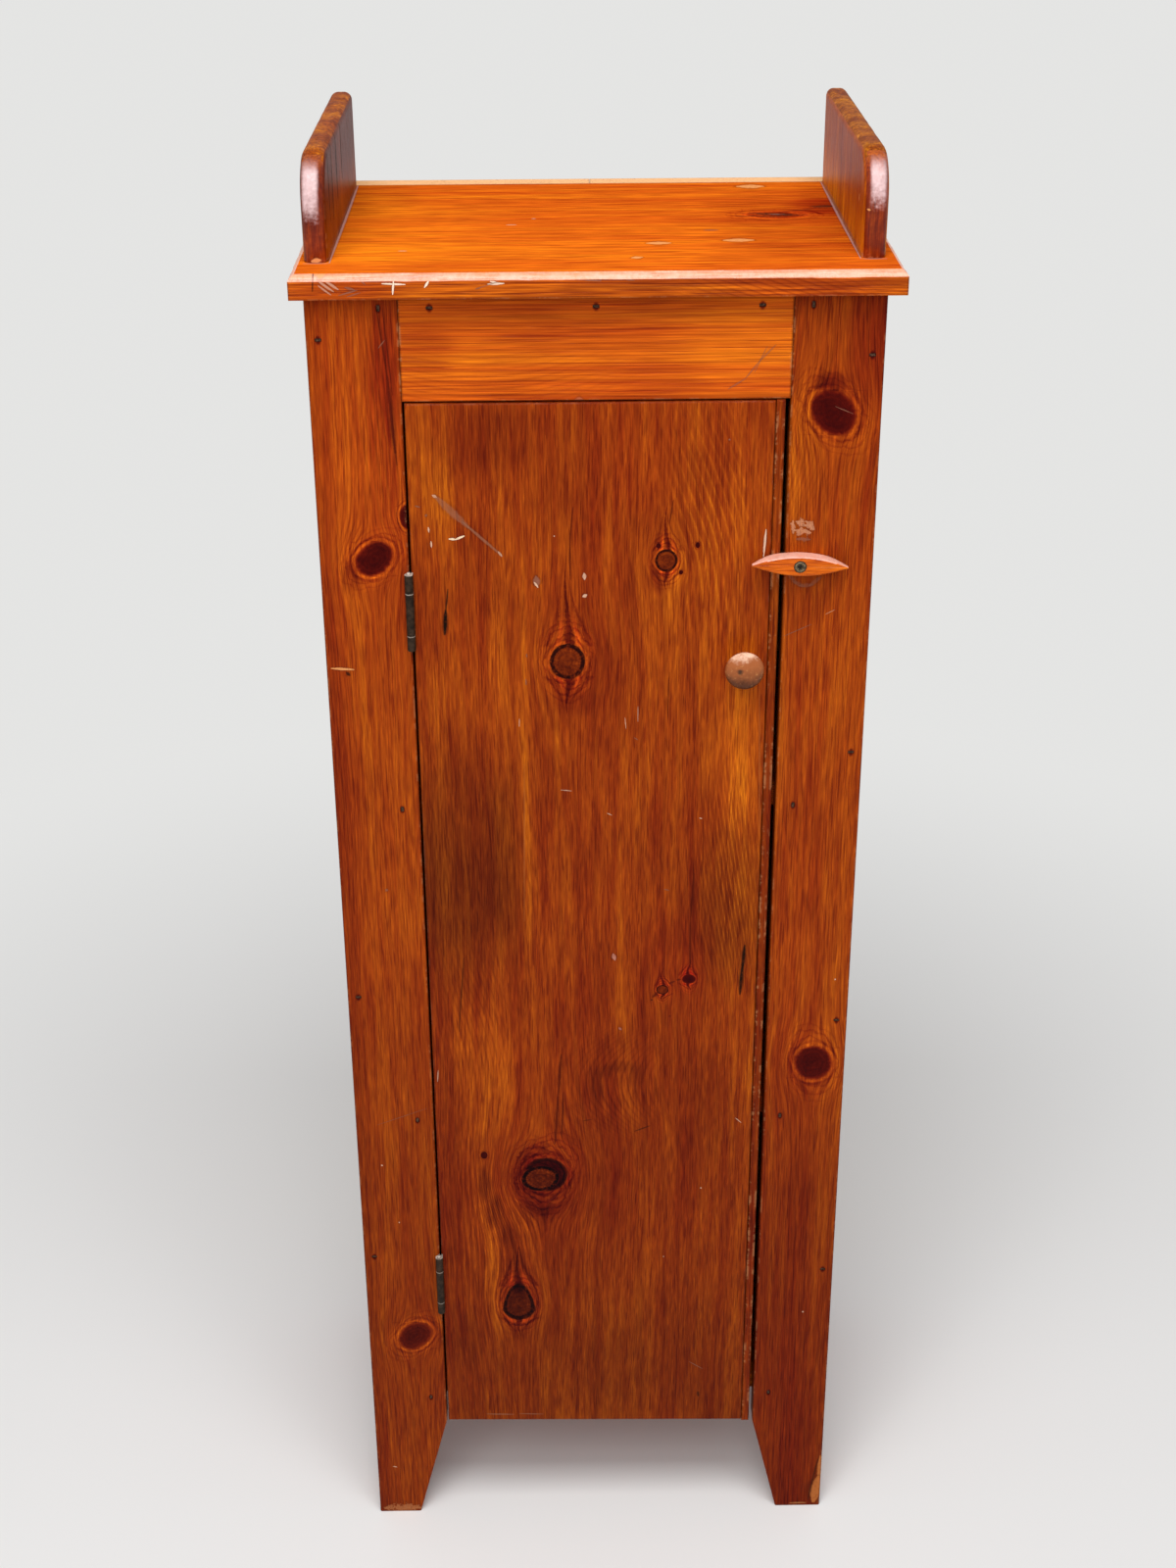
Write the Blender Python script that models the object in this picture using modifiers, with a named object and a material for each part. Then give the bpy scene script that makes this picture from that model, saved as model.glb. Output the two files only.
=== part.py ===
"""Narrow standing pine cupboard: a plank door in a face frame with tapered feet, and two end boards on top.

Metres, +Z up. The origin is on the floor, under the middle of the cupboard. The door faces -Y.
"""

import math

import bmesh
import bpy
from mathutils import Vector

NAME = "storage_cabinet"

# Air left between two pieces that touch
FIT = 0.0003

# Boards and case
BOARD = 0.0185
BACK_BOARD = 0.019
CASE_WIDTH = 0.432
CASE_HEIGHT = 1.2055
CASE_DEPTH = 0.297
DADO_DEPTH = 0.006

# Top and end boards
TOP_FRONT_OVERHANG = 0.0127
TOP_LEFT_OVERHANG = 0.0093
TOP_RIGHT_OVERHANG = 0.0126
TOP_CHAMFER = 0.0048
TOP_CHAMFER_FULLNESS = 0.36
END_BOARD_HEIGHT = 0.077
END_BOARD_SETBACK = 0.024
END_BOARD_PROUD = 0.0007
END_BOARD_CORNER = 0.036
END_BOARD_ROUNDING = 0.0038

# Face frame and feet
STILE_WIDTH = 0.0692
RAIL_HEIGHT = 0.081
LEFT_FOOT_HEIGHT = 0.1155
RIGHT_FOOT_HEIGHT = 0.1100
LEFT_FOOT_WIDTH = 0.0400
RIGHT_FOOT_WIDTH = 0.0438
FRAME_ROUNDING = 0.0012
SIDE_CUT_HEIGHT = 0.100
SIDE_FRONT_FOOT = 0.030
SIDE_BACK_FOOT = 0.046
SIDE_CUT_SLANT = 0.026

# Heights of the shelves' middles, given by the nails in the stiles
BOTTOM_SHELF = 0.1455
LOWER_SHELF = 0.4670
UPPER_SHELF = 0.7785

# Door
DOOR_TOP_GAP = 0.0016
DOOR_HINGE_GAP = 0.0017
DOOR_LOCK_GAP = 0.0037
DOOR_BOTTOM_LEFT = 0.1165
DOOR_BOTTOM_RIGHT = 0.1120
DOOR_ROUNDING = 0.0015
STRIP_WIDTH = 0.0070
STRIP_ABOVE = 0.0008
STRIP_BELOW = 0.0015

# Butt hinges
HINGE_INSET = 0.168
HINGE_LENGTH = 0.064
END_KNUCKLE = 0.0138
KNUCKLE_RADIUS = 0.0033
PIN_RADIUS = 0.0014
PIN_STANDOFF = 0.0037
PIN_INTO_STILE = 0.0003
PIN_TOP = 0.0024
PIN_FOOT = 0.0010
LEAF_THICKNESS = 0.0012
LEAF_DEPTH = 0.0145
HINGE_SCREW_SPACING = 0.044

# Knob and its bolt
KNOB_BELOW_TOP = 0.2144
KNOB_FROM_EDGE = 0.0269
KNOB_RADIUS = 0.0155
KNOB_PROJECTION = 0.0265
KNOB_BASE_RADIUS = 0.0082
KNOB_BASE_HEIGHT = 0.0020
KNOB_NECK_RADIUS = 0.0056
KNOB_NECK_HEIGHT = 0.0092
KNOB_UNDERSIDE_RADIUS = 0.0144
KNOB_RIM_THICKNESS = 0.0022
KNOB_RIM_CORNER = 0.0009
KNOB_DOME = 0.0075
BOLT_RADIUS = 0.0020
BOLT_HEAD_RADIUS = 0.0045
BOLT_HEAD_HEIGHT = 0.0024
BOLT_IN_KNOB = 0.010

# Wooden turn button and its screw
BUTTON_BELOW_TOP = 0.1292
BUTTON_FROM_OPENING = 0.0108
BUTTON_LENGTH = 0.0750
BUTTON_HEIGHT = 0.0156
BUTTON_THICKNESS = 0.0130
BUTTON_TIP = 0.0022
BUTTON_TILT = math.radians(2.0)
BUTTON_ROUNDING = 0.0010

# Fasteners
NAIL_LENGTH = 0.038
NAIL_HEAD_LONG = 0.0044
NAIL_HEAD_SHORT = 0.0020
NAIL_TIP = 0.0012
NAIL_SET = 0.0007
INNER_NAIL_FROM_EDGE = 0.0143
RAIL_NAIL_INSET = 0.0235
LEFT_OUTER_NAILS_BELOW_TOP = (0.033, 0.609, 0.8905)
RIGHT_OUTER_NAILS_BELOW_TOP = (0.048, 0.379, 0.6385, 0.912)
HINGE_SCREW = dict(head=0.0025, shank=0.0013, length=0.0140, rim=0.0002, cone=0.0009, tip=0.003)
BUTTON_SCREW = dict(head=0.0048, shank=0.0019, length=0.0280, rim=0.0006, cone=0.0027, tip=0.005)
END_BOARD_SCREW = dict(head=0.0040, shank=0.0018, length=0.0420, rim=0.0004, cone=0.0022, tip=0.005)
END_SCREW_INSET = 0.060
CROSS_WIDTH = 0.0012
CROSS_REACH = 0.0027
CROSS_DEPTH = 0.0016
CROSS_TURN = math.radians(20)
BRAD = dict(head=0.0011, shank=0.0008, length=0.0250, rim=0.0008, cone=0.0004, tip=0.002)
BRAD_INSET = 0.048

# How far a hole's cutter stands out of the face, and the least angle of an edge that is rounded
HOLE_MOUTH = 0.003
SHARP = math.radians(20)

ROUND_STEPS = 24

# Places that follow from the sizes
MID = (TOP_LEFT_OVERHANG - TOP_RIGHT_OVERHANG) / 2
FRONT = (KNOB_PROJECTION - CASE_DEPTH - FIT - BACK_BOARD) / 2
FRAME_BACK = FRONT + BOARD
CASE_BACK = FRONT + CASE_DEPTH
CASE_LEFT = MID - CASE_WIDTH / 2
CASE_RIGHT = MID + CASE_WIDTH / 2
OPENING_LEFT = CASE_LEFT + STILE_WIDTH
OPENING_RIGHT = CASE_RIGHT - STILE_WIDTH
RAIL_BOTTOM = CASE_HEIGHT - RAIL_HEIGHT
TOP_SURFACE = CASE_HEIGHT + BOARD
CASE_TOP_MIDDLE = CASE_HEIGHT - FIT - BOARD / 2
DOOR_TOP = RAIL_BOTTOM - DOOR_TOP_GAP
DOOR_LEFT = OPENING_LEFT + DOOR_HINGE_GAP
DOOR_RIGHT = OPENING_RIGHT - DOOR_LOCK_GAP
PLANK_RIGHT = DOOR_RIGHT - STRIP_WIDTH - FIT
PIN_X = OPENING_LEFT - PIN_INTO_STILE
PIN_Y = FRONT - PIN_STANDOFF
UPPER_HINGE = DOOR_TOP - HINGE_INSET
LOWER_HINGE = DOOR_BOTTOM_LEFT + HINGE_INSET
KNOB_X = DOOR_RIGHT - KNOB_FROM_EDGE
KNOB_Z = DOOR_TOP - KNOB_BELOW_TOP
BUTTON_X = OPENING_RIGHT + BUTTON_FROM_OPENING
BUTTON_Z = DOOR_TOP - BUTTON_BELOW_TOP
BUTTON_FACE = FRONT - FIT - BUTTON_THICKNESS

# Which way a turned or flat piece's own Z axis points
TO_FRONT = (math.pi / 2, 0, 0)
TO_RIGHT = (math.pi / 2, 0, math.pi / 2)
SCREW_TO_RIGHT = (0, math.pi / 2, 0)
SCREW_TO_LEFT = (0, -math.pi / 2, 0)
SCREW_DOWN = (math.pi, 0, 0)

# Colour, roughness and metallic value of each finish
STAINED_PINE = ((0.36, 0.085, 0.012), 0.28, 0.0)
DARK_PINE = ((0.21, 0.040, 0.008), 0.26, 0.0)
RAW_PINE = ((0.62, 0.42, 0.21), 0.75, 0.0)
BRONZE = ((0.075, 0.060, 0.043), 0.45, 0.9)
COPPER = ((0.46, 0.20, 0.11), 0.36, 0.9)
STEEL = ((0.20, 0.18, 0.16), 0.40, 1.0)


def start_scene():
    """Clears the scene and makes the collections for the pieces and for the cutters."""
    for obj in list(bpy.data.objects):
        bpy.data.objects.remove(obj, do_unlink=True)
    made = []
    for name in (NAME, "cutters"):
        collection = bpy.data.collections.new(name)
        bpy.context.scene.collection.children.link(collection)
        made.append(collection)
    return made


PIECES, CUTTERS = start_scene()


def new_object(name, mesh, finish=None):
    """Links a mesh as a piece with its own material, or as a cutter if it has no finish."""
    obj = bpy.data.objects.new(name, mesh)
    if finish is None:
        CUTTERS.objects.link(obj)
        obj.hide_render = True
        obj.display_type = "WIRE"
        return obj
    PIECES.objects.link(obj)
    colour, roughness, metallic = finish
    material = bpy.data.materials.new(name)
    material.use_nodes = True
    shader = material.node_tree.nodes["Principled BSDF"]
    shader.inputs["Base Color"].default_value = (*colour, 1)
    shader.inputs["Roughness"].default_value = roughness
    shader.inputs["Metallic"].default_value = metallic
    mesh.materials.append(material)
    return obj


def box(name, x, y, z, finish=None):
    """A box between low and high values of x, y and z."""
    low, high = Vector((x[0], y[0], z[0])), Vector((x[1], y[1], z[1]))
    shape = bmesh.new()
    bmesh.ops.create_cube(shape, size=1)
    bmesh.ops.scale(shape, vec=high - low, verts=shape.verts)
    mesh = bpy.data.meshes.new(name)
    shape.to_mesh(mesh)
    shape.free()
    obj = new_object(name, mesh, finish)
    obj.location = (low + high) / 2
    return obj


def flat(name, outline, thickness, location, rotation, finish=None):
    """A flat board of a closed outline, its middle plane at the location, made from a filled 2D curve."""
    curve = bpy.data.curves.new(name, "CURVE")
    curve.dimensions = "2D"
    curve.fill_mode = "BOTH"
    curve.extrude = thickness / 2
    spline = curve.splines.new("POLY")
    spline.points.add(len(outline) - 1)
    for point, (across, up) in zip(spline.points, outline):
        point.co = (across, up, 0, 1)
    spline.use_cyclic_u = True
    guide = bpy.data.objects.new(name + "_curve", curve)
    guide.location = location
    guide.rotation_euler = rotation
    CUTTERS.objects.link(guide)
    bpy.context.view_layer.update()
    evaluated = guide.evaluated_get(bpy.context.evaluated_depsgraph_get())
    mesh = bpy.data.meshes.new_from_object(evaluated)
    mesh.materials.clear()
    mesh.name = name
    shape = bmesh.new()
    shape.from_mesh(mesh)
    bmesh.ops.remove_doubles(shape, verts=shape.verts, dist=0.00001)
    bmesh.ops.recalc_face_normals(shape, faces=shape.faces)
    shape.to_mesh(mesh)
    shape.free()
    obj = new_object(name, mesh, finish)
    obj.matrix_world = guide.matrix_world
    bpy.data.objects.remove(guide, do_unlink=True)
    return obj


def turned(name, profile, location, rotation, finish=None, steps=ROUND_STEPS):
    """A solid of revolution. The profile runs from its top to its bottom, as (radius, height) pairs."""
    mesh = bpy.data.meshes.new(name)
    shape = bmesh.new()
    points = [shape.verts.new((radius, 0, height)) for radius, height in profile]
    for upper, lower in zip(points, points[1:]):
        shape.edges.new((upper, lower))
    shape.to_mesh(mesh)
    shape.free()
    obj = new_object(name, mesh, finish)
    obj.location = location
    obj.rotation_euler = rotation
    screw = obj.modifiers.new("turn", "SCREW")
    screw.axis = "Z"
    screw.steps = steps
    screw.render_steps = steps
    screw.use_merge_vertices = True
    screw.merge_threshold = 0.00001
    screw.use_smooth_shade = True
    return obj


def cut(pieces, cutter):
    """Cuts one cutter out of one or more pieces."""
    for piece in pieces:
        boolean = piece.modifiers.new("cut " + cutter.name, "BOOLEAN")
        boolean.object = cutter
        boolean.operation = "DIFFERENCE"
        boolean.solver = "EXACT"


def join_shape(piece, added):
    """Adds a guide shape to a piece."""
    boolean = piece.modifiers.new("join " + added.name, "BOOLEAN")
    boolean.object = added
    boolean.operation = "UNION"
    boolean.solver = "EXACT"


def ease(obj, radius, wanted, segments=2, profile=0.5):
    """Rounds the sharp edges whose two ends, in the part's frame, pass the test."""
    bpy.context.view_layer.update()
    world = obj.matrix_world
    shape = bmesh.new()
    shape.from_mesh(obj.data)
    picked = [
        edge for edge in shape.edges
        if edge.calc_face_angle(0) > SHARP and wanted(*(world @ vert.co for vert in edge.verts))
    ]
    bmesh.ops.bevel(
        shape,
        geom=picked,
        offset=radius,
        offset_type="OFFSET",
        segments=segments,
        profile=profile,
        affect="EDGES",
    )
    shape.to_mesh(obj.data)
    shape.free()


def at_front(*points):
    """Do all the points lie in the front plane of the face frame?"""
    return all(abs(point.y - FRONT) < 0.00001 for point in points)


def arc(centre, radius, start, end, steps):
    """Points along an arc, with angles in degrees."""
    angles = [math.radians(start + (end - start) * step / steps) for step in range(steps + 1)]
    return [(centre[0] + radius * math.cos(a), centre[1] + radius * math.sin(a)) for a in angles]


def cove(start, end, steps=3):
    """Points of a hollow quarter ellipse, level at its start and upright at its end."""
    width, height = end[0] - start[0], start[1] - end[1]
    angles = [math.pi / 2 * step / steps for step in range(steps + 1)]
    return [(start[0] + width * math.sin(a), end[1] + height * math.cos(a)) for a in angles]


def screw_profile(head, shank, length, rim, cone, tip, grow=0.0, above=0.0):
    """Profile of a countersunk screw or a brad whose head ends at height 0."""
    return [
        (0, above),
        (head + grow, above),
        (head + grow, -rim),
        (shank + grow, -rim - cone),
        (shank + grow, tip - length),
        (0, -length - grow),
    ]


def screw(name, sizes, location, rotation, holders, steps=12):
    """A screw or brad, and the clearance hole for it in each piece that it goes through."""
    profile = screw_profile(**sizes, grow=FIT, above=HOLE_MOUTH)
    hole = turned(name + "_hole", profile, location, rotation, steps=steps)
    cut(holders, hole)
    return turned(name, screw_profile(**sizes), location, rotation, STEEL, steps)


def cross_recess(screw_head, location):
    """Cuts a cross-shaped recess into a screw head that faces the front."""
    x, y, z = location
    for name, half_x, half_z in (
        ("level", CROSS_REACH, CROSS_WIDTH / 2),
        ("upright", CROSS_WIDTH / 2, CROSS_REACH),
    ):
        slot = box(
            f"{screw_head.name}_{name}",
            (x - half_x, x + half_x),
            (y - CROSS_DEPTH, y + CROSS_DEPTH),
            (z - half_z, z + half_z),
        )
        slot.rotation_euler = (0, CROSS_TURN, 0)
        cut([screw_head], slot)


def nail_bar(name, x, z, level, start, end, grow, finish=None):
    """A wedge-shaped cut nail along +Y from the front. Its long side tapers from the head to the tip."""
    shape = bmesh.new()
    bmesh.ops.create_cube(shape, size=1)
    for vert in shape.verts:
        along = end if vert.co.y > 0 else start
        long_side = NAIL_HEAD_LONG + (NAIL_TIP - NAIL_HEAD_LONG) * along / NAIL_LENGTH + 2 * grow
        short_side = NAIL_HEAD_SHORT + 2 * grow
        vert.co.x *= long_side if level else short_side
        vert.co.z *= short_side if level else long_side
        vert.co.y = along
    mesh = bpy.data.meshes.new(name)
    shape.to_mesh(mesh)
    shape.free()
    obj = new_object(name, mesh, finish)
    obj.location = (x, FRONT + NAIL_SET, z)
    return obj


def face_nail(name, x, z, level, holders):
    """A nail set just below the frame's face, and its hole."""
    hole = nail_bar(name + "_hole", x, z, level, -HOLE_MOUTH, NAIL_LENGTH + FIT, FIT)
    cut(holders, hole)
    return nail_bar(name, x, z, level, 0, NAIL_LENGTH, 0, STEEL)


def make_sides():
    """The two case sides, with dadoes for the shelves and a cut-out that leaves two feet."""
    front, back = FRAME_BACK + FIT, CASE_BACK
    outline = [
        (front, 0),
        (front + SIDE_FRONT_FOOT, 0),
        (front + SIDE_FRONT_FOOT + SIDE_CUT_SLANT, SIDE_CUT_HEIGHT),
        (back - SIDE_BACK_FOOT - SIDE_CUT_SLANT, SIDE_CUT_HEIGHT),
        (back - SIDE_BACK_FOOT, 0),
        (back, 0),
        (back, CASE_HEIGHT - FIT),
        (front, CASE_HEIGHT - FIT),
    ]
    left = flat("left_side", outline, BOARD, (CASE_LEFT + BOARD / 2, 0, 0), TO_RIGHT, STAINED_PINE)
    right = flat("right_side", outline, BOARD, (CASE_RIGHT - BOARD / 2, 0, 0), TO_RIGHT, STAINED_PINE)
    return left, right


def make_shelf(name, middle, sides):
    """A shelf let into dadoes in both sides. Its front edge is behind the face frame."""
    inner_left, inner_right = CASE_LEFT + BOARD, CASE_RIGHT - BOARD
    low, high = middle - BOARD / 2, middle + BOARD / 2
    shelf = box(
        name,
        (inner_left - DADO_DEPTH + FIT, inner_right + DADO_DEPTH - FIT),
        (FRAME_BACK + FIT, CASE_BACK),
        (low, high),
        STAINED_PINE,
    )
    dado = box(
        name + "_dado",
        (inner_left - DADO_DEPTH, inner_right + DADO_DEPTH),
        (FRONT, CASE_BACK + BACK_BOARD),
        (low - FIT, high + FIT),
    )
    cut(sides, dado)
    return shelf


def make_stile(name, outer, inner, foot_width, foot_height):
    """An upright of the face frame. The inside of its lower end tapers to a foot."""
    inward = 1 if inner > outer else -1
    outline = [
        (outer, 0),
        (outer + inward * foot_width, 0),
        (inner, foot_height),
        (inner, RAIL_BOTTOM),
        (inner, CASE_HEIGHT - FIT),
        (outer, CASE_HEIGHT - FIT),
    ]
    stile = flat(name, outline, BOARD, (0, FRONT + BOARD / 2, 0), TO_FRONT, STAINED_PINE)

    def below_the_rail(a, b):
        return at_front(a, b) and max(a.z, b.z) > FIT and min(a.z, b.z) < RAIL_BOTTOM - FIT

    ease(stile, FRAME_ROUNDING, below_the_rail)
    return stile


def make_top():
    """The overhanging top board, with its front and end edges broken, and the rail under it."""
    top = box(
        "top_board",
        (CASE_LEFT - TOP_LEFT_OVERHANG, CASE_RIGHT + TOP_RIGHT_OVERHANG),
        (FRONT - TOP_FRONT_OVERHANG, CASE_BACK),
        (CASE_HEIGHT, TOP_SURFACE),
        STAINED_PINE,
    )

    def upper_outside(a, b):
        return min(a.z, b.z) > TOP_SURFACE - FIT and min(a.y, b.y) < FRONT

    ease(top, TOP_CHAMFER, upper_outside, segments=3, profile=TOP_CHAMFER_FULLNESS)
    rail = box(
        "top_rail",
        (OPENING_LEFT + FIT, OPENING_RIGHT - FIT),
        (FRONT, FRAME_BACK),
        (RAIL_BOTTOM, CASE_HEIGHT - FIT),
        STAINED_PINE,
    )
    ease(rail, FRAME_ROUNDING, lambda a, b: at_front(a, b) and max(a.z, b.z) < RAIL_BOTTOM + FIT)
    return top, rail


def make_end_board(name, outer, inner, top):
    """A low board that stands on one end of the top, with a large round front corner, and its two screws."""
    front, back = FRONT + END_BOARD_SETBACK, CASE_BACK
    bottom, crest = TOP_SURFACE + FIT, TOP_SURFACE + FIT + END_BOARD_HEIGHT
    corner = arc((front + END_BOARD_CORNER, crest - END_BOARD_CORNER), END_BOARD_CORNER, 90, 180, 12)
    outline = [(front, bottom), (back, bottom), (back, crest), *corner]
    middle = (outer + inner) / 2
    end_board = flat(name, outline, BOARD, (middle, 0, 0), TO_RIGHT, DARK_PINE)

    def round_its_outline(a, b):
        return max(a.z, b.z) > bottom + FIT and abs(a.x - b.x) < FIT

    ease(end_board, END_BOARD_ROUNDING, round_its_outline, segments=3)
    for place, y in (("front", front + END_SCREW_INSET), ("back", back - END_SCREW_INSET)):
        head = (middle, y, CASE_HEIGHT)
        screw(f"{name}_{place}_screw", END_BOARD_SCREW, head, SCREW_DOWN, [top, end_board])
    return end_board


def make_back():
    """Two rough upright boards nailed on behind the case, level with the top's surface."""
    bottom = BOTTOM_SHELF - BOARD / 2
    depth = (CASE_BACK + FIT, CASE_BACK + FIT + BACK_BOARD)
    for name, x in (
        ("left_back_board", (CASE_LEFT, MID - FIT / 2)),
        ("right_back_board", (MID + FIT / 2, CASE_RIGHT)),
    ):
        box(name, x, depth, (bottom, TOP_SURFACE), RAW_PINE)


def make_door():
    """The door's plank, cut a little out of square at the bottom, and the strip on its lock edge."""
    outline = [
        (DOOR_LEFT, DOOR_BOTTOM_LEFT),
        (PLANK_RIGHT, DOOR_BOTTOM_RIGHT),
        (PLANK_RIGHT, DOOR_TOP),
        (DOOR_LEFT, DOOR_TOP),
    ]
    plank = flat("door_plank", outline, BOARD, (0, FRONT + BOARD / 2, 0), TO_FRONT, STAINED_PINE)
    ease(plank, DOOR_ROUNDING, at_front)
    strip = box(
        "door_edge_strip",
        (PLANK_RIGHT + FIT, DOOR_RIGHT),
        (FRONT, FRAME_BACK),
        (DOOR_BOTTOM_RIGHT - STRIP_BELOW, DOOR_TOP + STRIP_ABOVE),
        STAINED_PINE,
    )
    ease(strip, DOOR_ROUNDING, at_front)
    heights = (("top", DOOR_TOP - BRAD_INSET), ("bottom", DOOR_BOTTOM_RIGHT + BRAD_INSET))
    middle = FRONT + BOARD / 2
    brads = [
        screw(f"strip_{place}_brad", BRAD, (DOOR_RIGHT, middle, z), SCREW_TO_RIGHT, [strip, plank], steps=8)
        for place, z in heights
    ]
    return plank, strip, brads


def make_leaf(name, knuckles, plate_x, tongue_start, middle, wood):
    """A hinge leaf let into the wood: a flat plate, and a knuckle round the pin at each pair of heights."""
    low, high = middle - HINGE_LENGTH / 2, middle + HINGE_LENGTH / 2
    plate_start = PIN_Y + KNUCKLE_RADIUS + FIT
    leaf = box(name, plate_x, (plate_start, FRONT + LEAF_DEPTH), (low, high), BRONZE)
    tongue_y = (tongue_start, plate_start + LEAF_THICKNESS)
    for number, (bottom, top) in enumerate(knuckles, 1):
        tongue = box(f"{name}_tongue_{number}", plate_x, tongue_y, (bottom, top))
        half = (top - bottom) / 2
        profile = [(0, half), (KNUCKLE_RADIUS, half), (KNUCKLE_RADIUS, -half), (0, -half)]
        knuckle = turned(f"{name}_knuckle_{number}", profile, (PIN_X, PIN_Y, (bottom + top) / 2), (0, 0, 0))
        join_shape(leaf, tongue)
        join_shape(leaf, knuckle)
    reach = HINGE_LENGTH
    bore_profile = [(0, reach), (PIN_RADIUS + FIT, reach), (PIN_RADIUS + FIT, -reach), (0, -reach)]
    bore = turned(f"{name}_bore", bore_profile, (PIN_X, PIN_Y, middle), (0, 0, 0), steps=16)
    cut([leaf], bore)
    mortise = box(
        f"{name}_mortise",
        (plate_x[0] - FIT, plate_x[1] + FIT),
        (FRONT - LEAF_DEPTH, FRONT + LEAF_DEPTH + FIT),
        (low - FIT, high + FIT),
    )
    cut([wood], mortise)
    return leaf


def make_hinge(name, middle, stile, plank):
    """A butt hinge. The frame leaf has the long middle knuckle, and the door leaf the two end ones."""
    low, high = middle - HINGE_LENGTH / 2, middle + HINGE_LENGTH / 2
    frame_leaf = make_leaf(
        f"{name}_frame_leaf",
        [(low + END_KNUCKLE + FIT, high - END_KNUCKLE - FIT)],
        (OPENING_LEFT - LEAF_THICKNESS, OPENING_LEFT),
        PIN_Y + PIN_RADIUS + FIT + (KNUCKLE_RADIUS - PIN_RADIUS) / 4,
        middle,
        stile,
    )
    door_leaf = make_leaf(
        f"{name}_door_leaf",
        [(low, low + END_KNUCKLE), (high - END_KNUCKLE, high)],
        (DOOR_LEFT, DOOR_LEFT + LEAF_THICKNESS),
        PIN_Y + FIT,
        middle,
        plank,
    )
    pin_top, pin_foot = HINGE_LENGTH / 2 + PIN_TOP, -HINGE_LENGTH / 2 - PIN_FOOT
    pin_profile = [
        *arc((0, pin_top - PIN_RADIUS), PIN_RADIUS, 90, 0, 3),
        (PIN_RADIUS, pin_foot),
        (0, pin_foot),
    ]
    turned(f"{name}_pin", pin_profile, (PIN_X, PIN_Y, middle), (0, 0, 0), BRONZE, steps=16)
    screws = []
    depth = (FRONT + FIT + FRONT + LEAF_DEPTH) / 2
    for place, offset in (("lower", -HINGE_SCREW_SPACING / 2), ("upper", HINGE_SCREW_SPACING / 2)):
        in_frame, in_door = (OPENING_LEFT, depth, middle + offset), (DOOR_LEFT, depth, middle + offset)
        screw(f"{name}_frame_{place}_screw", HINGE_SCREW, in_frame, SCREW_TO_RIGHT, [frame_leaf, stile])
        held = [door_leaf, plank]
        screws.append(screw(f"{name}_door_{place}_screw", HINGE_SCREW, in_door, SCREW_TO_LEFT, held))
    return [door_leaf, *screws]


def make_knob(plank):
    """The mushroom knob, and the bolt that holds it from inside the door."""
    rim_front = KNOB_PROJECTION - KNOB_DOME
    rim_back = rim_front - KNOB_RIM_THICKNESS
    dome = [(KNOB_RADIUS * across, rim_front + KNOB_DOME * up) for across, up in arc((0, 0), 1, 90, 0, 6)]
    neck = (KNOB_NECK_RADIUS, KNOB_NECK_HEIGHT)
    profile = [
        *dome,
        (KNOB_RADIUS, rim_back + KNOB_RIM_CORNER),
        *cove((KNOB_UNDERSIDE_RADIUS, rim_back), neck),
        *reversed(cove((KNOB_BASE_RADIUS, KNOB_BASE_HEIGHT), neck)[:-1]),
        (KNOB_BASE_RADIUS, FIT),
        (0, FIT),
    ]
    knob = turned("knob", profile, (KNOB_X, FRONT, KNOB_Z), TO_FRONT, COPPER, steps=40)
    tip = (KNOB_X, FRAME_BACK, KNOB_Z)
    end = BOARD + BOLT_IN_KNOB
    bolt_profile = [
        (0, end),
        (BOLT_RADIUS, end),
        (BOLT_RADIUS, -FIT),
        (BOLT_HEAD_RADIUS, -FIT),
        (BOLT_HEAD_RADIUS, -BOLT_HEAD_HEIGHT),
        (0, -BOLT_HEAD_HEIGHT),
    ]
    bolt = turned("knob_bolt", bolt_profile, tip, TO_FRONT, STEEL, steps=16)
    hole_profile = [(0, end + FIT), (BOLT_RADIUS + FIT, end + FIT), (BOLT_RADIUS + FIT, -BOARD), (0, -BOARD)]
    hole = turned("knob_bolt_hole", hole_profile, tip, TO_FRONT, steps=16)
    cut([plank, knob], hole)
    return [knob, bolt]


def make_turn_button(stile):
    """The lens-shaped turn button, its origin on its screw, and the screw."""
    half_length, half_height, half_tip = BUTTON_LENGTH / 2, BUTTON_HEIGHT / 2, BUTTON_TIP / 2
    rise = half_height - half_tip
    radius = (half_length ** 2 + rise ** 2) / (2 * rise)
    sweep = math.degrees(math.asin(half_length / radius))
    upper = arc((0, half_height - radius), radius, 90 - sweep, 90 + sweep, 14)
    lower = arc((0, radius - half_height), radius, 270 - sweep, 270 + sweep, 14)
    middle = (BUTTON_X, BUTTON_FACE + BUTTON_THICKNESS / 2, BUTTON_Z)
    button = flat("turn_button", upper + lower, BUTTON_THICKNESS, middle, TO_FRONT, STAINED_PINE)
    button.rotation_euler = (TO_FRONT[0], -BUTTON_TILT, 0)
    ease(button, BUTTON_ROUNDING, lambda a, b: abs(a.y - b.y) < FIT, segments=1)
    face = (BUTTON_X, BUTTON_FACE, BUTTON_Z)
    button_screw = screw("turn_button_screw", BUTTON_SCREW, face, TO_FRONT, [button, stile], steps=20)
    cross_recess(button_screw, face)
    return button


def hang(pieces, name, location):
    """Parents pieces to an empty on the axis that they turn about."""
    axis = bpy.data.objects.new(name, None)
    axis.location = location
    PIECES.objects.link(axis)
    bpy.context.view_layer.update()
    for piece in pieces:
        piece.parent = axis
        piece.matrix_parent_inverse = axis.matrix_world.inverted()


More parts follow.
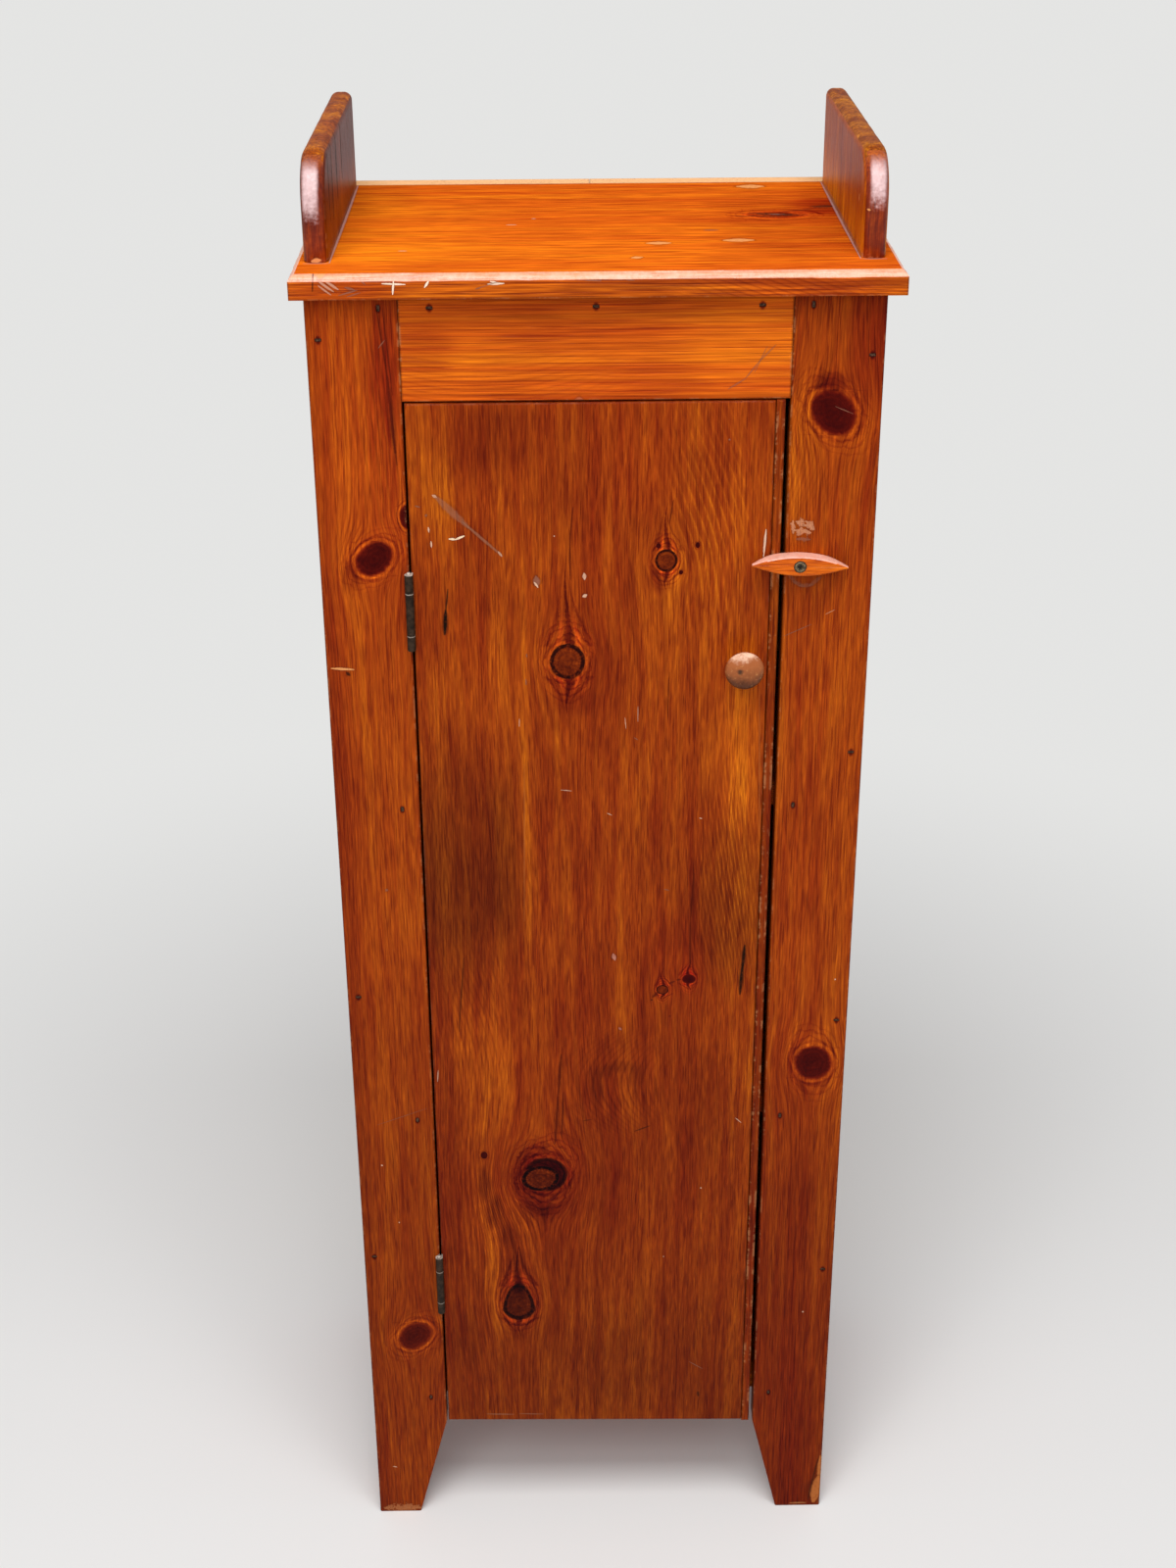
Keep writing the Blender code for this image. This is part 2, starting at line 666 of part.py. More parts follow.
def make_nails(left_stile, right_stile, rail, sides, shelves):
    """The cut nails that hold the face frame on the front edges of the case."""
    left_inner, right_inner = OPENING_LEFT - INNER_NAIL_FROM_EDGE, OPENING_RIGHT + INNER_NAIL_FROM_EDGE
    for name, (shelf, z) in shelves.items():
        face_nail(f"left_{name}_nail", left_inner, z, False, [left_stile, shelf])
        face_nail(f"right_{name}_nail", right_inner, z, False, [right_stile, shelf])
    left_side, right_side = sides
    for name, x, depths, holders in (
        ("left", CASE_LEFT + BOARD / 2, LEFT_OUTER_NAILS_BELOW_TOP, [left_stile, left_side]),
        ("right", CASE_RIGHT - BOARD / 2, RIGHT_OUTER_NAILS_BELOW_TOP, [right_stile, right_side]),
    ):
        for number, below in enumerate(depths, 1):
            face_nail(f"{name}_side_nail_{number}", x, CASE_HEIGHT - below, True, holders)
    case_top, height = shelves["case_top"]
    for name, x in (
        ("left", OPENING_LEFT + RAIL_NAIL_INSET),
        ("middle", MID),
        ("right", OPENING_RIGHT - RAIL_NAIL_INSET),
    ):
        face_nail(f"rail_{name}_nail", x, height, True, [rail, case_top])


def main():
    sides = make_sides()
    heights = {
        "bottom_shelf": BOTTOM_SHELF,
        "lower_shelf": LOWER_SHELF,
        "upper_shelf": UPPER_SHELF,
        "case_top": CASE_TOP_MIDDLE,
    }
    shelves = {name: (make_shelf(name, middle, sides), middle) for name, middle in heights.items()}
    left_stile = make_stile("left_stile", CASE_LEFT, OPENING_LEFT, LEFT_FOOT_WIDTH, LEFT_FOOT_HEIGHT)
    right_stile = make_stile("right_stile", CASE_RIGHT, OPENING_RIGHT, RIGHT_FOOT_WIDTH, RIGHT_FOOT_HEIGHT)
    top, rail = make_top()
    left_outer, right_outer = CASE_LEFT - END_BOARD_PROUD, CASE_RIGHT + END_BOARD_PROUD
    make_end_board("left_end_board", left_outer, left_outer + BOARD, top)
    make_end_board("right_end_board", right_outer, right_outer - BOARD, top)
    make_back()
    plank, strip, brads = make_door()
    swinging = [plank, strip, *brads]
    for name, middle in (("upper_hinge", UPPER_HINGE), ("lower_hinge", LOWER_HINGE)):
        swinging += make_hinge(name, middle, left_stile, plank)
    swinging += make_knob(plank)
    make_turn_button(right_stile)
    make_nails(left_stile, right_stile, rail, sides, shelves)
    hang(swinging, "door_axis", (PIN_X, PIN_Y, 0))


main()
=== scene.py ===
"""Looks of a narrow standing pine cupboard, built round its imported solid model.

Metres, +Z up, origin on the floor under the middle of the cupboard, whose door faces -Y. Only the features painted
on a board are listed in tenths of a millimetre.
"""

import inspect
import math

import bmesh
import bpy
from mathutils import Matrix, Vector, noise


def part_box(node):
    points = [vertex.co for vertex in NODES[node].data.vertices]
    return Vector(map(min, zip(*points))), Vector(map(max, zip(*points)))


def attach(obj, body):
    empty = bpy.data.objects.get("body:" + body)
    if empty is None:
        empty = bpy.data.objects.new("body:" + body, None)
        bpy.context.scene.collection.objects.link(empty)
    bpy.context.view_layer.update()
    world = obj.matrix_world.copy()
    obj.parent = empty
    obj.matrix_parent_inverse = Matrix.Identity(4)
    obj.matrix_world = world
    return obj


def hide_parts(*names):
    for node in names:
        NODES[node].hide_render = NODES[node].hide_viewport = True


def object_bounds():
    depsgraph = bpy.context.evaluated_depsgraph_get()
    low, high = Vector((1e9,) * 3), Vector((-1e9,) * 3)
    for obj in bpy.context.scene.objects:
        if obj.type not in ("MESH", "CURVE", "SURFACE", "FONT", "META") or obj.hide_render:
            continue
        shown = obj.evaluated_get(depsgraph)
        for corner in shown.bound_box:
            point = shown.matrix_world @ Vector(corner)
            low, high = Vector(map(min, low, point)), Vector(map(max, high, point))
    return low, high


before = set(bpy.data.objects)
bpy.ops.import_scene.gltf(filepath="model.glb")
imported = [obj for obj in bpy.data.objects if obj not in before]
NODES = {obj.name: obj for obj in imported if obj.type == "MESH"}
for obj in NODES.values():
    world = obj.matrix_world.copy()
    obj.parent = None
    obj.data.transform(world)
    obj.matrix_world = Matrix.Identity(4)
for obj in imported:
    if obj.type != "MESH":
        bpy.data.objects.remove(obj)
solid_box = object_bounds()

TENTH = 0.0001

# Camera, solved from the photograph's vanishing lines and corners
CAMERA_PLACE = (-0.02988, -1.75517, 1.61957)
CAMERA_DOWN, CAMERA_TURN, CAMERA_ROLL = math.radians(26.966), math.radians(0.720), math.radians(-0.322)
FOCAL_LENGTH, SENSOR = 50.57, 36.0

# Surroundings: what the camera and gloss see, and what lights the object
PALE = (0.78, 0.78, 0.77, 1)
DIM = (0.34, 0.34, 0.345, 1)
# Floor: half its width, its colour, and how far off its shadow starts to even out and ends
FLOOR_HALF = 40.0
FLOOR_COLOUR = (0.86, 0.86, 0.85, 1)
SHADOW_FADE = (0.55, 1.7)

# Wood: the brightest red it gets, how many half widths a soft patch reaches, and how many radii a knot does
BRIGHTEST = 0.92
PATCH_REACH, KNOT_REACH = 2.6, 3.5
# Stops and hue of the dark rim round a nail
HOLE_TONE = (-2.2, -0.2)

# Shapes that stand for solids
CHAMFER, CHAMFER_POWER = 0.0048, 1.2
ARRIS_WEAR = 0.0005
END_CORNER, END_ROUNDING = 0.036, 0.0064
# Wear of an end board's crest, and of its front down to a depth
CREST_WEAR, FRONT_WEAR, FRONT_DEPTH = 0.0008, 0.0003, 0.05
BUTTON_TURN = math.radians(-2.0)
BUTTON_HEIGHT, BUTTON_TIP, BUTTON_ROUNDING = 0.0156, 0.0006, 0.0012
# Where along half the button its thinning starts, and how much of the thickness is gone at the tip
TIP_START, TIP_THINNING = 0.55, 0.72
# Knob: the dome's depth, the rim as distances in from the edge and behind the face, the radii of the underside, the
# neck and the foot, and how far behind the face the neck is thinnest and how long its flare is
KNOB_STEPS = 96
KNOB_DOME = 0.0075
KNOB_RIM = ((0.0, 0.0088), (0.0003, 0.0094), (0.0011, 0.0097))
KNOB_UNDER, KNOB_NECK, KNOB_FOOT = 0.0144, 0.0056, 0.0082
KNOB_WAIST, KNOB_FLARE = 0.0173, 0.0072
PLANK_ROUNDING = 0.0015
# How far the door's lower edge rises on the hinge side, and how far up that is felt
PLANK_SLOPE, SLOPE_REACH = 0.0045, 0.05
# Where the door's face is cut into parts, each with its own material
PLANK_COLUMNS, PLANK_ROWS = (0.0,), (0.45, 0.80, 0.955)
# Mortise of a hinge leaf in the door's edge: thickness, depth and half height
LEAF, LEAF_DEPTH, LEAF_HALF = 0.0014, 0.0150, 0.0323


def centre(node):
    return sum(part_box(node), Vector()) / 2


def placed(name, data):
    """A new object in the scene with this mesh, lamp or camera."""
    obj = bpy.data.objects.new(name, data)
    bpy.context.scene.collection.objects.link(obj)
    return obj


def operator(operation):
    """A method of Value that adds a Math node."""
    return lambda value, *others: value.nodes.node("Math", value, *others, operation=operation)


class Value:
    """A number, vector or colour in a node tree. Arithmetic on it adds nodes."""

    def __init__(self, nodes, socket):
        self.nodes, self.socket = nodes, socket

    __add__ = __radd__ = operator("ADD")
    __sub__ = operator("SUBTRACT")
    __mul__ = __rmul__ = operator("MULTIPLY")
    __truediv__ = operator("DIVIDE")
    __pow__ = operator("POWER")
    __abs__ = operator("ABSOLUTE")
    root = operator("SQRT")
    after_point = operator("FRACT")
    low = operator("MINIMUM")
    high = operator("MAXIMUM")
    sine = operator("SINE")
    cosine = operator("COSINE")
    angle = operator("ARCTAN2")
    exponent = operator("EXPONENT")

    def __rsub__(self, other):
        return self.nodes.node("Math", self, -1.0, other, operation="MULTIPLY_ADD")

    def __neg__(self):
        return self * -1.0

    def vector(self, operation, *others, output=0):
        return self.nodes.node("VectorMath", self, *others, operation=operation, output=output)

    def clamped(self):
        return self.nodes.node("Math", self, 0.0, operation="ADD", use_clamp=True)

    def fade(self):
        """1 at zero, falling to 0 as the value grows."""
        return (-self).exponent()

    def rise(self, start, end, to=1.0):
        """0 below start, 1 or another value above end, smooth between."""
        return self.nodes.node("MapRange", self, start, end, 0.0, to, interpolation_type="SMOOTHSTEP")

    def fall(self, start, end):
        """1 below start and 0 above end."""
        return 1.0 - self.rise(start, end)

    def band(self, start, full, fading, end):
        """1 from full to fading, and 0 below start and above end."""
        return self.rise(start, full) * self.fall(fading, end)

    def apart(self):
        made = self.nodes.make("SeparateXYZ", self)
        return [Value(self.nodes, socket) for socket in made.outputs]


class Nodes:
    """Adds nodes to a tree."""

    def __init__(self, tree):
        self.tree = tree

    def make(self, kind, *inputs, **settings):
        node = self.tree.nodes.new("ShaderNode" + kind)
        for key, value in settings.items():
            setattr(node, key, value)
        for slot, value in zip(node.inputs, inputs):
            self.feed(slot, value)
        return node

    def feed(self, slot, value):
        if isinstance(value, Value):
            self.tree.links.new(value.socket, slot)
        elif value is not None:
            slot.default_value = value

    def node(self, kind, *inputs, output=0, **settings):
        return Value(self, self.make(kind, *inputs, **settings).outputs[output])

    def join(self, x, y, z):
        return self.node("CombineXYZ", x, y, z)

    def noise(self, spot, scales, detail=2.0, rough=0.5, seed=(0, 0, 0)):
        """Noise about zero, from -0.5 to 0.5, with a scale per metre along each axis."""
        stretched = self.node("Mapping", spot, seed, None, scales)
        return self.node("TexNoise", stretched, None, 1.0, detail, rough) - 0.5

    def mix(self, share, first, second):
        inputs = [share, None, None, None, None, None, first, second]
        return self.node("Mix", *inputs, output=2, data_type="RGBA")

    def seen(self):
        """1 for what the camera, gloss or glass sees, 0 for what only lights."""
        rays = self.make("LightPath").outputs
        camera, gloss, glass = (Value(self, rays[f"Is {ray} Ray"]) for ray in ("Camera", "Glossy", "Transmission"))
        return camera.high(gloss).high(glass)


class Group(Nodes):
    """A node group, made once and used by many materials. Its sockets go by name.

    It is made from a function: what that takes are its inputs, and what that returns are its outputs.
    """

    VECTORS = ("seed", "place", "point", "start", "end", "low", "high")
    COLOURS = ("paint", "colour")

    def __init__(self, draw):
        super().__init__(bpy.data.node_groups.new(draw.__name__, "ShaderNodeTree"))
        self.add_sockets(list(inspect.signature(draw).parameters)[1:], "INPUT")
        entry = self.tree.nodes.new("NodeGroupInput")
        outputs = draw(self, *(Value(self, socket) for socket in entry.outputs[:-1]))
        self.add_sockets(outputs, "OUTPUT")
        end = self.tree.nodes.new("NodeGroupOutput")
        for slot, value in zip(end.inputs, outputs.values()):
            self.feed(slot, value)

    def add_sockets(self, names, side):
        for name in names:
            kind = "Vector" if name in self.VECTORS else "Color" if name in self.COLOURS else "Float"
            self.tree.interface.new_socket(name, in_out=side, socket_type="NodeSocket" + kind)

    def on(self, nodes, given):
        """Uses the group in another tree."""
        used = nodes.make("Group", node_tree=self.tree)
        for socket in used.inputs:
            nodes.feed(socket, given[socket.name])
        return {socket.name: Value(nodes, socket) for socket in used.outputs}


class Shader(Nodes):
    """A material and its node tree."""

    def __init__(self, name):
        self.material = bpy.data.materials.new(name)
        self.material.use_nodes = True
        super().__init__(self.material.node_tree)
        self.tree.nodes.clear()

    def place(self):
        """The point's own place on the object."""
        return self.node("TexCoord", output=3)

    def finish(self, colour, roughness, height=None, depth=0.001, **settings):
        """The surface shader. Settings are plain numbers on the shader's own sockets."""
        surface = self.make("BsdfPrincipled")
        self.feed(surface.inputs["Base Color"], colour)
        self.feed(surface.inputs["Roughness"], roughness)
        for key, value in settings.items():
            surface.inputs[key.replace("_", " ")].default_value = value
        if height is not None:
            bump = self.make("Bump")
            bump.inputs["Strength"].default_value = 1.0
            bump.inputs["Distance"].default_value = depth
            self.feed(bump.inputs["Height"], height)
            self.tree.links.new(bump.outputs["Normal"], surface.inputs["Normal"])
        self.make("OutputMaterial", Value(self, surface.outputs[0]))
        return self.material


# Node groups for wood. Brightness is in stops; hue 1 is plain stained pine, more is golden and less is red


@Group
def bend_group(nodes, a, l, bent, at_a, at_l, grip):
    """Grain parting round a knot, as water does round a post."""
    da, dl = a - at_a, (l - at_l) * 0.72
    size = grip * grip
    return dict(bent=bent - da * size / (da * da + dl * dl).high(size))


@Group
def grain_group(nodes, a, l, d, bent, pith_a, pith_d, tone, fine, streaks, broad, rings, spacing, length, seed):
    """Straight pine grain: fibres, dark dashes, streaks, bands, blotches and growth rings."""
    plain, spot = nodes.join(a, l, d), nodes.join(bent, l / length, d)
    half = nodes.join((a + bent) * 0.5, l / length, d)
    fibre = nodes.noise(half, (920, 58, 920), 2.0, 0.6, seed)
    dash = nodes.noise(half, (800, 34, 800), 1.0, 0.5, seed).rise(0.08, 0.15)
    streak = nodes.noise(spot, (230, 15, 230), 1.0, 0.5, seed) + nodes.noise(spot, (75, 4, 75), 1.0, 0.5, seed) * 0.9
    band = nodes.noise(spot, (30, 1.8, 30), 1.0, 0.5, seed)
    blotch = nodes.noise(plain, (26, 13, 26), 3.0, 0.55, seed)
    cloud = nodes.noise(plain, (7, 2.5, 7), 1.0, 0.5, seed)
    from_pith = ((bent - pith_a) * (bent - pith_a) + (d - pith_d) * (d - pith_d)).root()
    wander = nodes.noise(spot, (16, 3.0, 16), 2.0, 0.5, seed) * 0.010
    late = ((from_pith + wander) / spacing).after_point().band(0.70, 0.93, 0.93, 1.0)
    return dict(
        stops=tone + (fibre * 2.6 - dash * 0.6) * fine + streak * 0.95 * streaks
        + (band * 1.0 + blotch * 0.75 + cloud * 0.8) * broad - (late - 0.15) * rings * (1.0 + fibre * 3.0),
        hue=1.0 + streak * 0.5 + band * 0.5 + cloud * 0.3 - dash * 0.12,
        height=fibre * 0.5 - dash * 0.5 - late * 0.15,
        fibre=fibre,
        ragged=nodes.noise(plain, (330, 330, 330), 2.0, 0.65, seed),
        patchy=nodes.noise(plain, (60, 60, 60), 3.0, 0.65, seed),
    )


@Group
def knot_group(
    nodes, a, l, fibre, ragged, patchy, stops, hue, at_a, at_l, radius, tall, lean, drop, core, core_hue, bark, glow,
    glow_hue, plume,
):
    """A knot: turned rings inside, a bark ring with ticks or a soft rim, and brighter wood flowing round it."""
    da, dl = a - at_a, l - at_l
    cos, sin = lean.cosine(), lean.sine()
    across, up = da * cos + dl * sin, dl * cos - da * sin
    short = up / tall
    narrow = across * (1.0 + (short / radius).high(-0.5) * drop)
    size = (narrow * narrow + short * short).root() / radius
    reach = size + ragged * 0.12 + patchy * 0.22
    # Flames above and below
    above, below = dl - radius * tall * 0.9, -dl - radius * tall * 0.9
    tip = (above / plume).clamped().high((below / (plume * 0.45)).clamped())
    sway = (tip * 6.0 + at_a * 90.0).sine() * 0.0012
    width = (1.0 - tip) * (1.0 - tip) * radius * 1.05 + 0.0005
    arch = abs(da + sway) / width + ragged * 0.5
    within = above.high(below).rise(-0.0015, 0.001) * tip.fall(0.8, 1.0)
    line = arch.fall(0.08, 0.35) * within
    flank = arch.band(0.3, 0.5, 0.6, 0.9) * within * tip.fall(0.05, 0.5)
    shell = arch.band(0.9, 1.05, 1.1, 1.5) * within * tip.fall(0.3, 0.8)
    # Lines that flow round
    far = (across * across * 1.25 + up * up * 0.5).root() / radius
    lines = (far * 3.2 + patchy * 2.6 + ragged * 0.4).after_point().band(0.45, 0.85, 0.85, 1.0)
    around = reach.rise(1.05, 1.15) * far.fall(1.3, 2.3)
    outline = reach.band(1.02, 1.08, 1.12, 1.28) * (0.55 + patchy * 2.5 + ragged).clamped()
    rim = reach.band(1.18, 1.26, 1.30, 1.44) * (0.5 + patchy * 4.0).clamped()
    bright = outline + flank * 1.2 + around * (0.35 + fibre)
    dark = line * 1.5 + shell * 0.8 + around * lines * (bark * 0.35 + 0.45) + rim * 0.8
    stops = stops + bright * glow - dark
    hue = hue + bright * glow_hue - dark * 0.22
    # The knot itself
    inside = reach.fall(0.87, 1.07)
    turns = (size * 4.0 + patchy * 3.0 + ragged * 0.6).after_point()
    ticks = (short.angle(across) * 4.1 + ragged * 1.4 + patchy).after_point().rise(0.55, 0.8) * reach.rise(0.55, 0.80)
    speckle = (ragged * 1.5 + patchy * 1.8) * (1.0 + bark * 0.8)
    fill = core + (turns - 0.5) * 0.55 + size * size * size * size * 1.1 + speckle - ticks * bark * 0.6
    ring = reach.band(0.77, 0.87, 0.98, 1.06) * (0.75 + ragged * 3.5 + patchy * 2.5).clamped() * bark
    return dict(
        stops=stops + (fill - stops) * inside - ring * 3.8,
        hue=hue + (core_hue - hue) * inside + ring * 0.7,
    )


@Group
def tint_group(nodes, a, l, stops, hue, at_a, at_l, width, length, more, more_hue):
    """A soft brighter or darker patch."""
    da, dl = (a - at_a) / width, (l - at_l) / length
    far = da * da + dl * dl
    fade = (far * far).fade()
    return dict(stops=stops + fade * more, hue=hue + fade * more_hue)


@Group
def figure_group(
    nodes, a, l, bent, patchy, ragged, stops, hue, at_a, at_l, width, length, spacing, more, more_hue, lean, curve,
):
    """Fine growth lines in a soft patch, which flow round the knots as the grain does."""
    da, up = a - at_a, l - at_l
    line = ((bent - at_a + up * lean + up * up * curve + patchy * 0.0010) / spacing).after_point()
    line = line.band(0.35, 0.75, 0.75, 0.95)
    across, far = da / width, up / length
    fade = (across * across + far * far).fade() * (0.7 + ragged * 1.5)
    return dict(stops=stops + fade * (line - 0.3) * more, hue=hue + fade * line * more_hue)


@Group
def mark_group(nodes, place, ragged, paint, dull, start, end, width, colour, strength, rough):
    """A scratch, dent or chip along a line: widest in the middle, with a ragged rim and painted shade round its edges.
    """
    run, away = end.vector("SUBTRACT", start), place.vector("SUBTRACT", start)
    share = (away.vector("DOT_PRODUCT", run, output=1) / run.vector("DOT_PRODUCT", run, output=1)).clamped()
    nearest = nodes.node("VectorMath", run, None, None, share, operation="SCALE")
    off = away.vector("DISTANCE", nearest, output=1)
    middle = share - 0.5
    near = off / (width * (1.1 - middle * middle * 2.8)) + ragged * rough
    line = near.fall(0.45, 0.95) * strength * (1.0 + ragged * 1.8).clamped()
    # Painted shade: a soft dark band round the mark, as where a dent's rim shades it
    edge = near.fall(0.9, 1.9) * strength * 0.35
    around = nodes.mix(edge, paint, (0.03, 0.006, 0.002, 1))
    return dict(paint=nodes.mix(line, around, colour), dull=dull + line * 0.25)


@Group
def stain_group(nodes, stops, hue):
    """Turns stops into stained pine: orange where bright, red-brown where dark."""
    red = (stops * math.log(2)).exponent().low(BRIGHTEST)
    return dict(paint=nodes.node("CombineColor", red, (red ** 1.35) * 0.21 * hue, red * 0.008 + 0.001))


@Group
def bare_group(nodes, stops):
    """Turns stops into pale wood that was never stained."""
    red = (stops * math.log(2)).exponent().low(BRIGHTEST)
    return dict(paint=nodes.node("CombineColor", red, (red ** 1.2) * 0.55, (red ** 1.5) * 0.26))


@Group
def wear_group(nodes, point, low, high, patchy, ragged, paint, dull, amount, reach, colour, grime):
    """Pale worn arrises on a box; where they are whole, a little grime and painted shade darken them, as in joints."""
    gaps = point.vector("SUBTRACT", low).vector("MINIMUM", high.vector("SUBTRACT", point))
    x, y, z = gaps.vector("MAXIMUM", (0.0, 0.0, 0.0)).apart()
    near = x + y + z - x.high(y).high(z)
    # Grime and painted shade: darker along the arrises where they are whole, as in the joints between boards
    dirt = near.fall(0.0003, 0.0016) * grime
    worn = (1.0 - near.rise(0.0004, reach)) * (patchy + ragged * 0.5).rise(0.02, 0.14) * amount
    dirty = nodes.mix(dirt, paint, (0.05, 0.008, 0.002, 1))
    return dict(paint=nodes.mix(worn, dirty, colour), dull=dull + worn * 0.3)


PLAIN_GRAIN = dict(rings=0.3, spacing=0.0043, fine=1.0, streaks=1.0, broad=1.0, length=1.0)


def tenths(row, count):
    """A row whose first values are tenths of a millimetre, in metres."""
    return [value * TENTH for value in row[:count]] + list(row[count:])


def red_knot(a, l, radius, plume=10, **looks):
    """A sound, dark red knot. Place, radius and the length of its flame are in tenths of a millimetre."""
    at_a, at_l, radius, plume = tenths((a, l, radius, plume), 4)
    plain = dict(
        tall=1.12, lean=0.0, drop=0.0, core=-4.5, core_hue=0.5, bark=0.0, glow=0.6, glow_hue=0.0, grip=1.1,
    )
    return {**plain, **looks, "at_a": at_a, "at_l": at_l, "radius": radius, "plume": plume}


def ringed_knot(a, l, radius, plume=10, **looks):
    """A knot with a ring of bark round it."""
    ringed = dict(tall=1.08, core=-3.0, core_hue=1.1, bark=1.0, glow_hue=-0.22, grip=1.15)
    return red_knot(a, l, radius, plume, **{**ringed, **looks})


class Wood:
    """Pine with its grain along one axis.

    A place on it is (across, along) the board: x and z on an upright front board, y and x on the top.
    """

    def __init__(
        self, name, along, box, tone, seed=0.0, knots=(), pith=(0.0, 0.06), thin=None, zone=None, **grain
    ):
        self.shader = Shader(name)
        self.box = low, high = box
        self.zone = zone
        self.point = self.shader.place()
        self.axes = self.point.apart()
        along_axis = "xyz".index(along)
        others = sorted({0, 1, 2} - {along_axis}, key=lambda axis: high[axis] - low[axis])
        if thin and others[0] != "xyz".index(thin):
            others.reverse()
        order = (others[1], along_axis, others[0])
        self.lying = along == "x"
        self.a, self.l, self.d = (self.axes[axis] for axis in order)
        self.place = self.shader.join(self.a, self.l, 0.0)
        self.bent = self.a
        for knot in knots:
            self.use(bend_group, at_a=knot["at_a"], at_l=knot["at_l"], grip=knot["radius"] * knot["grip"])
        middle = [(low[axis] + high[axis]) / 2 for axis in order]
        self.use(
            grain_group, pith_a=middle[0] + pith[0], pith_d=middle[2] + pith[1], tone=tone,
            seed=(seed, seed * 0.7, seed * 1.3), **{**PLAIN_GRAIN, **grain},
        )
        self.dull = self.patchy * 0.08
        for knot in knots:
            size = knot["radius"] * knot["tall"] * KNOT_REACH
            if self.reaches([knot["at_a"]], [knot["at_l"]], size, size + knot["plume"]):
                self.use(knot_group, **knot)

    def use(self, group, **given):
        """Runs a group on this wood. Inputs that aren't given are the wood's own values, and so are all outputs."""
        for name, value in group.on(self.shader, {**vars(self), **given}).items():
            setattr(self, name, value)

    def reaches(self, across, along, room_across, room_along):
        """Does a feature at these places, with room round it, touch this material's part of the board?"""
        if self.zone is None:
            return True
        (a0, l0), (a1, l1) = self.zone
        return (
            max(across) + room_across > a0 and min(across) - room_across < a1
            and max(along) + room_along > l0 and min(along) - room_along < l1
        )

    def tint(self, a, l, width, length, stops, hue=0.0):
        """Makes a soft patch brighter or darker, and more golden or redder."""
        if self.reaches([a], [l], PATCH_REACH * width, PATCH_REACH * length):
            self.use(tint_group, at_a=a, at_l=l, width=width, length=length, more=stops, more_hue=hue)

    def figure(self, a, l, width, length, spacing, stops, lean=0.0, curve=0.0, hue=0.2):
        """Fine curved lines of growth in a soft patch."""
        if self.reaches([a], [l], PATCH_REACH * width, PATCH_REACH * length):
            self.use(
                figure_group, at_a=a, at_l=l, width=width, length=length, spacing=spacing, more=stops, more_hue=hue,
                lean=lean, curve=curve,
            )

    def nail_hole(self, node):
        """A dark rim round a nail in a board of the front."""
        middle = centre(node)
        if self.lying:
            self.tint(middle.z, middle.x, 0.0030, 0.0021, *HOLE_TONE)
        else:
            self.tint(middle.x, middle.z, 0.0019, 0.0032, *HOLE_TONE)

    def mark(self, a0, l0, a1, l1, width, colour, strength=1.0, rough=0.9):
        """A scratch, dent or chip along a line; its rim is ragged."""
        if self.reaches([a0, a1], [l0, l1], 2 * width, 2 * width):
            self.use(
                mark_group, start=(a0, l0, 0.0), end=(a1, l1, 0.0), width=width, colour=(*colour, 1), strength=strength,
                rough=rough,
            )

    def stain(self, tints=(), figures=(), holes=(), marks=()):
        """Draws the rows of tints and figures and the nail holes, stains the wood and draws the groups of marks."""
        for row in tints:
            self.tint(*tenths(row, 4))
        for row in figures:
            self.figure(*tenths(row, 5))
        for node in holes:
            self.nail_hole(node)
        self.use(stain_group)
        self.draw(marks)

    def draw(self, groups):
        """Marks in groups: colour, strength and roughness, then lines, each with its two ends and its width."""
        for colour, strength, rough, *lines in groups:
            for line in lines:
                self.mark(*tenths(line, 5), colour, strength, rough)

    def wear(self, amount, reach=0.003, colour=(0.62, 0.27, 0.11, 1), grime=0.5):
        """Pale worn arrises; where they are whole, a little grime and painted shade darken them."""
        low, high = (tuple(corner) for corner in self.box)
        self.use(wear_group, low=low, high=high, amount=amount, reach=reach, colour=colour, grime=grime)

    def finish(self, gloss=0.04, roughness=0.30, depth=0.0003):
        rough = self.fibre * 0.06 + self.dull + roughness
        return self.shader.finish(self.paint, rough, self.height, depth, Specular_IOR_Level=gloss)


def dress(names, material):
    for name in names:
        obj = NODES[name]
        if not obj.material_slots:
            obj.data.materials.append(None)
        for slot in obj.material_slots:
            slot.link = "OBJECT"
            slot.material = material


# Colours of marks
PALE_SCRATCH = (0.80, 0.50, 0.34)
GREY_SCRATCH = (0.62, 0.32, 0.21)
IVORY = (0.92, 0.72, 0.55)
NOTCH = (0.92, 0.68, 0.45)
EDGE_CHIP = (0.80, 0.55, 0.40)
BARE_PINE = (0.78, 0.33, 0.11)
RUBBED = (0.70, 0.32, 0.17)
ORANGE_CHIP = (0.52, 0.19, 0.07)
WORN_CORNER = (0.50, 0.150, 0.035)
GOLDEN = (0.50, 0.14, 0.03)
RED_CHIP = (0.50, 0.12, 0.05)
DULL_CHIP = (0.50, 0.20, 0.14)
BROWN_CHIP = (0.40, 0.14, 0.10)
FAINT = (0.40, 0.18, 0.10)
SCRAPE = (0.30, 0.125, 0.07)
LILAC = (0.27, 0.10, 0.06)
# Painted highlights along the end boards' feet, on the top and low on their flanks
SEAM = (0.46, 0.28, 0.27)
FOOT_SEAM = (0.34, 0.15, 0.12)
KNOT_GREY = (0.34, 0.17, 0.13)
KNOT_BARK = (0.075, 0.020, 0.010)
PITCH = (0.085, 0.006, 0.002)
SPLIT = (0.06, 0.012, 0.004)
BLACK = (0.010, 0.005, 0.003)

# Boards whose solids keep their shape. In the tables a tint is a place, half width, half length, stops and hue; a
# figure has its spacing before the stops, and its lean, curve and hue after; a group of marks is a colour, strength
# and roughness, then lines with their two ends and width


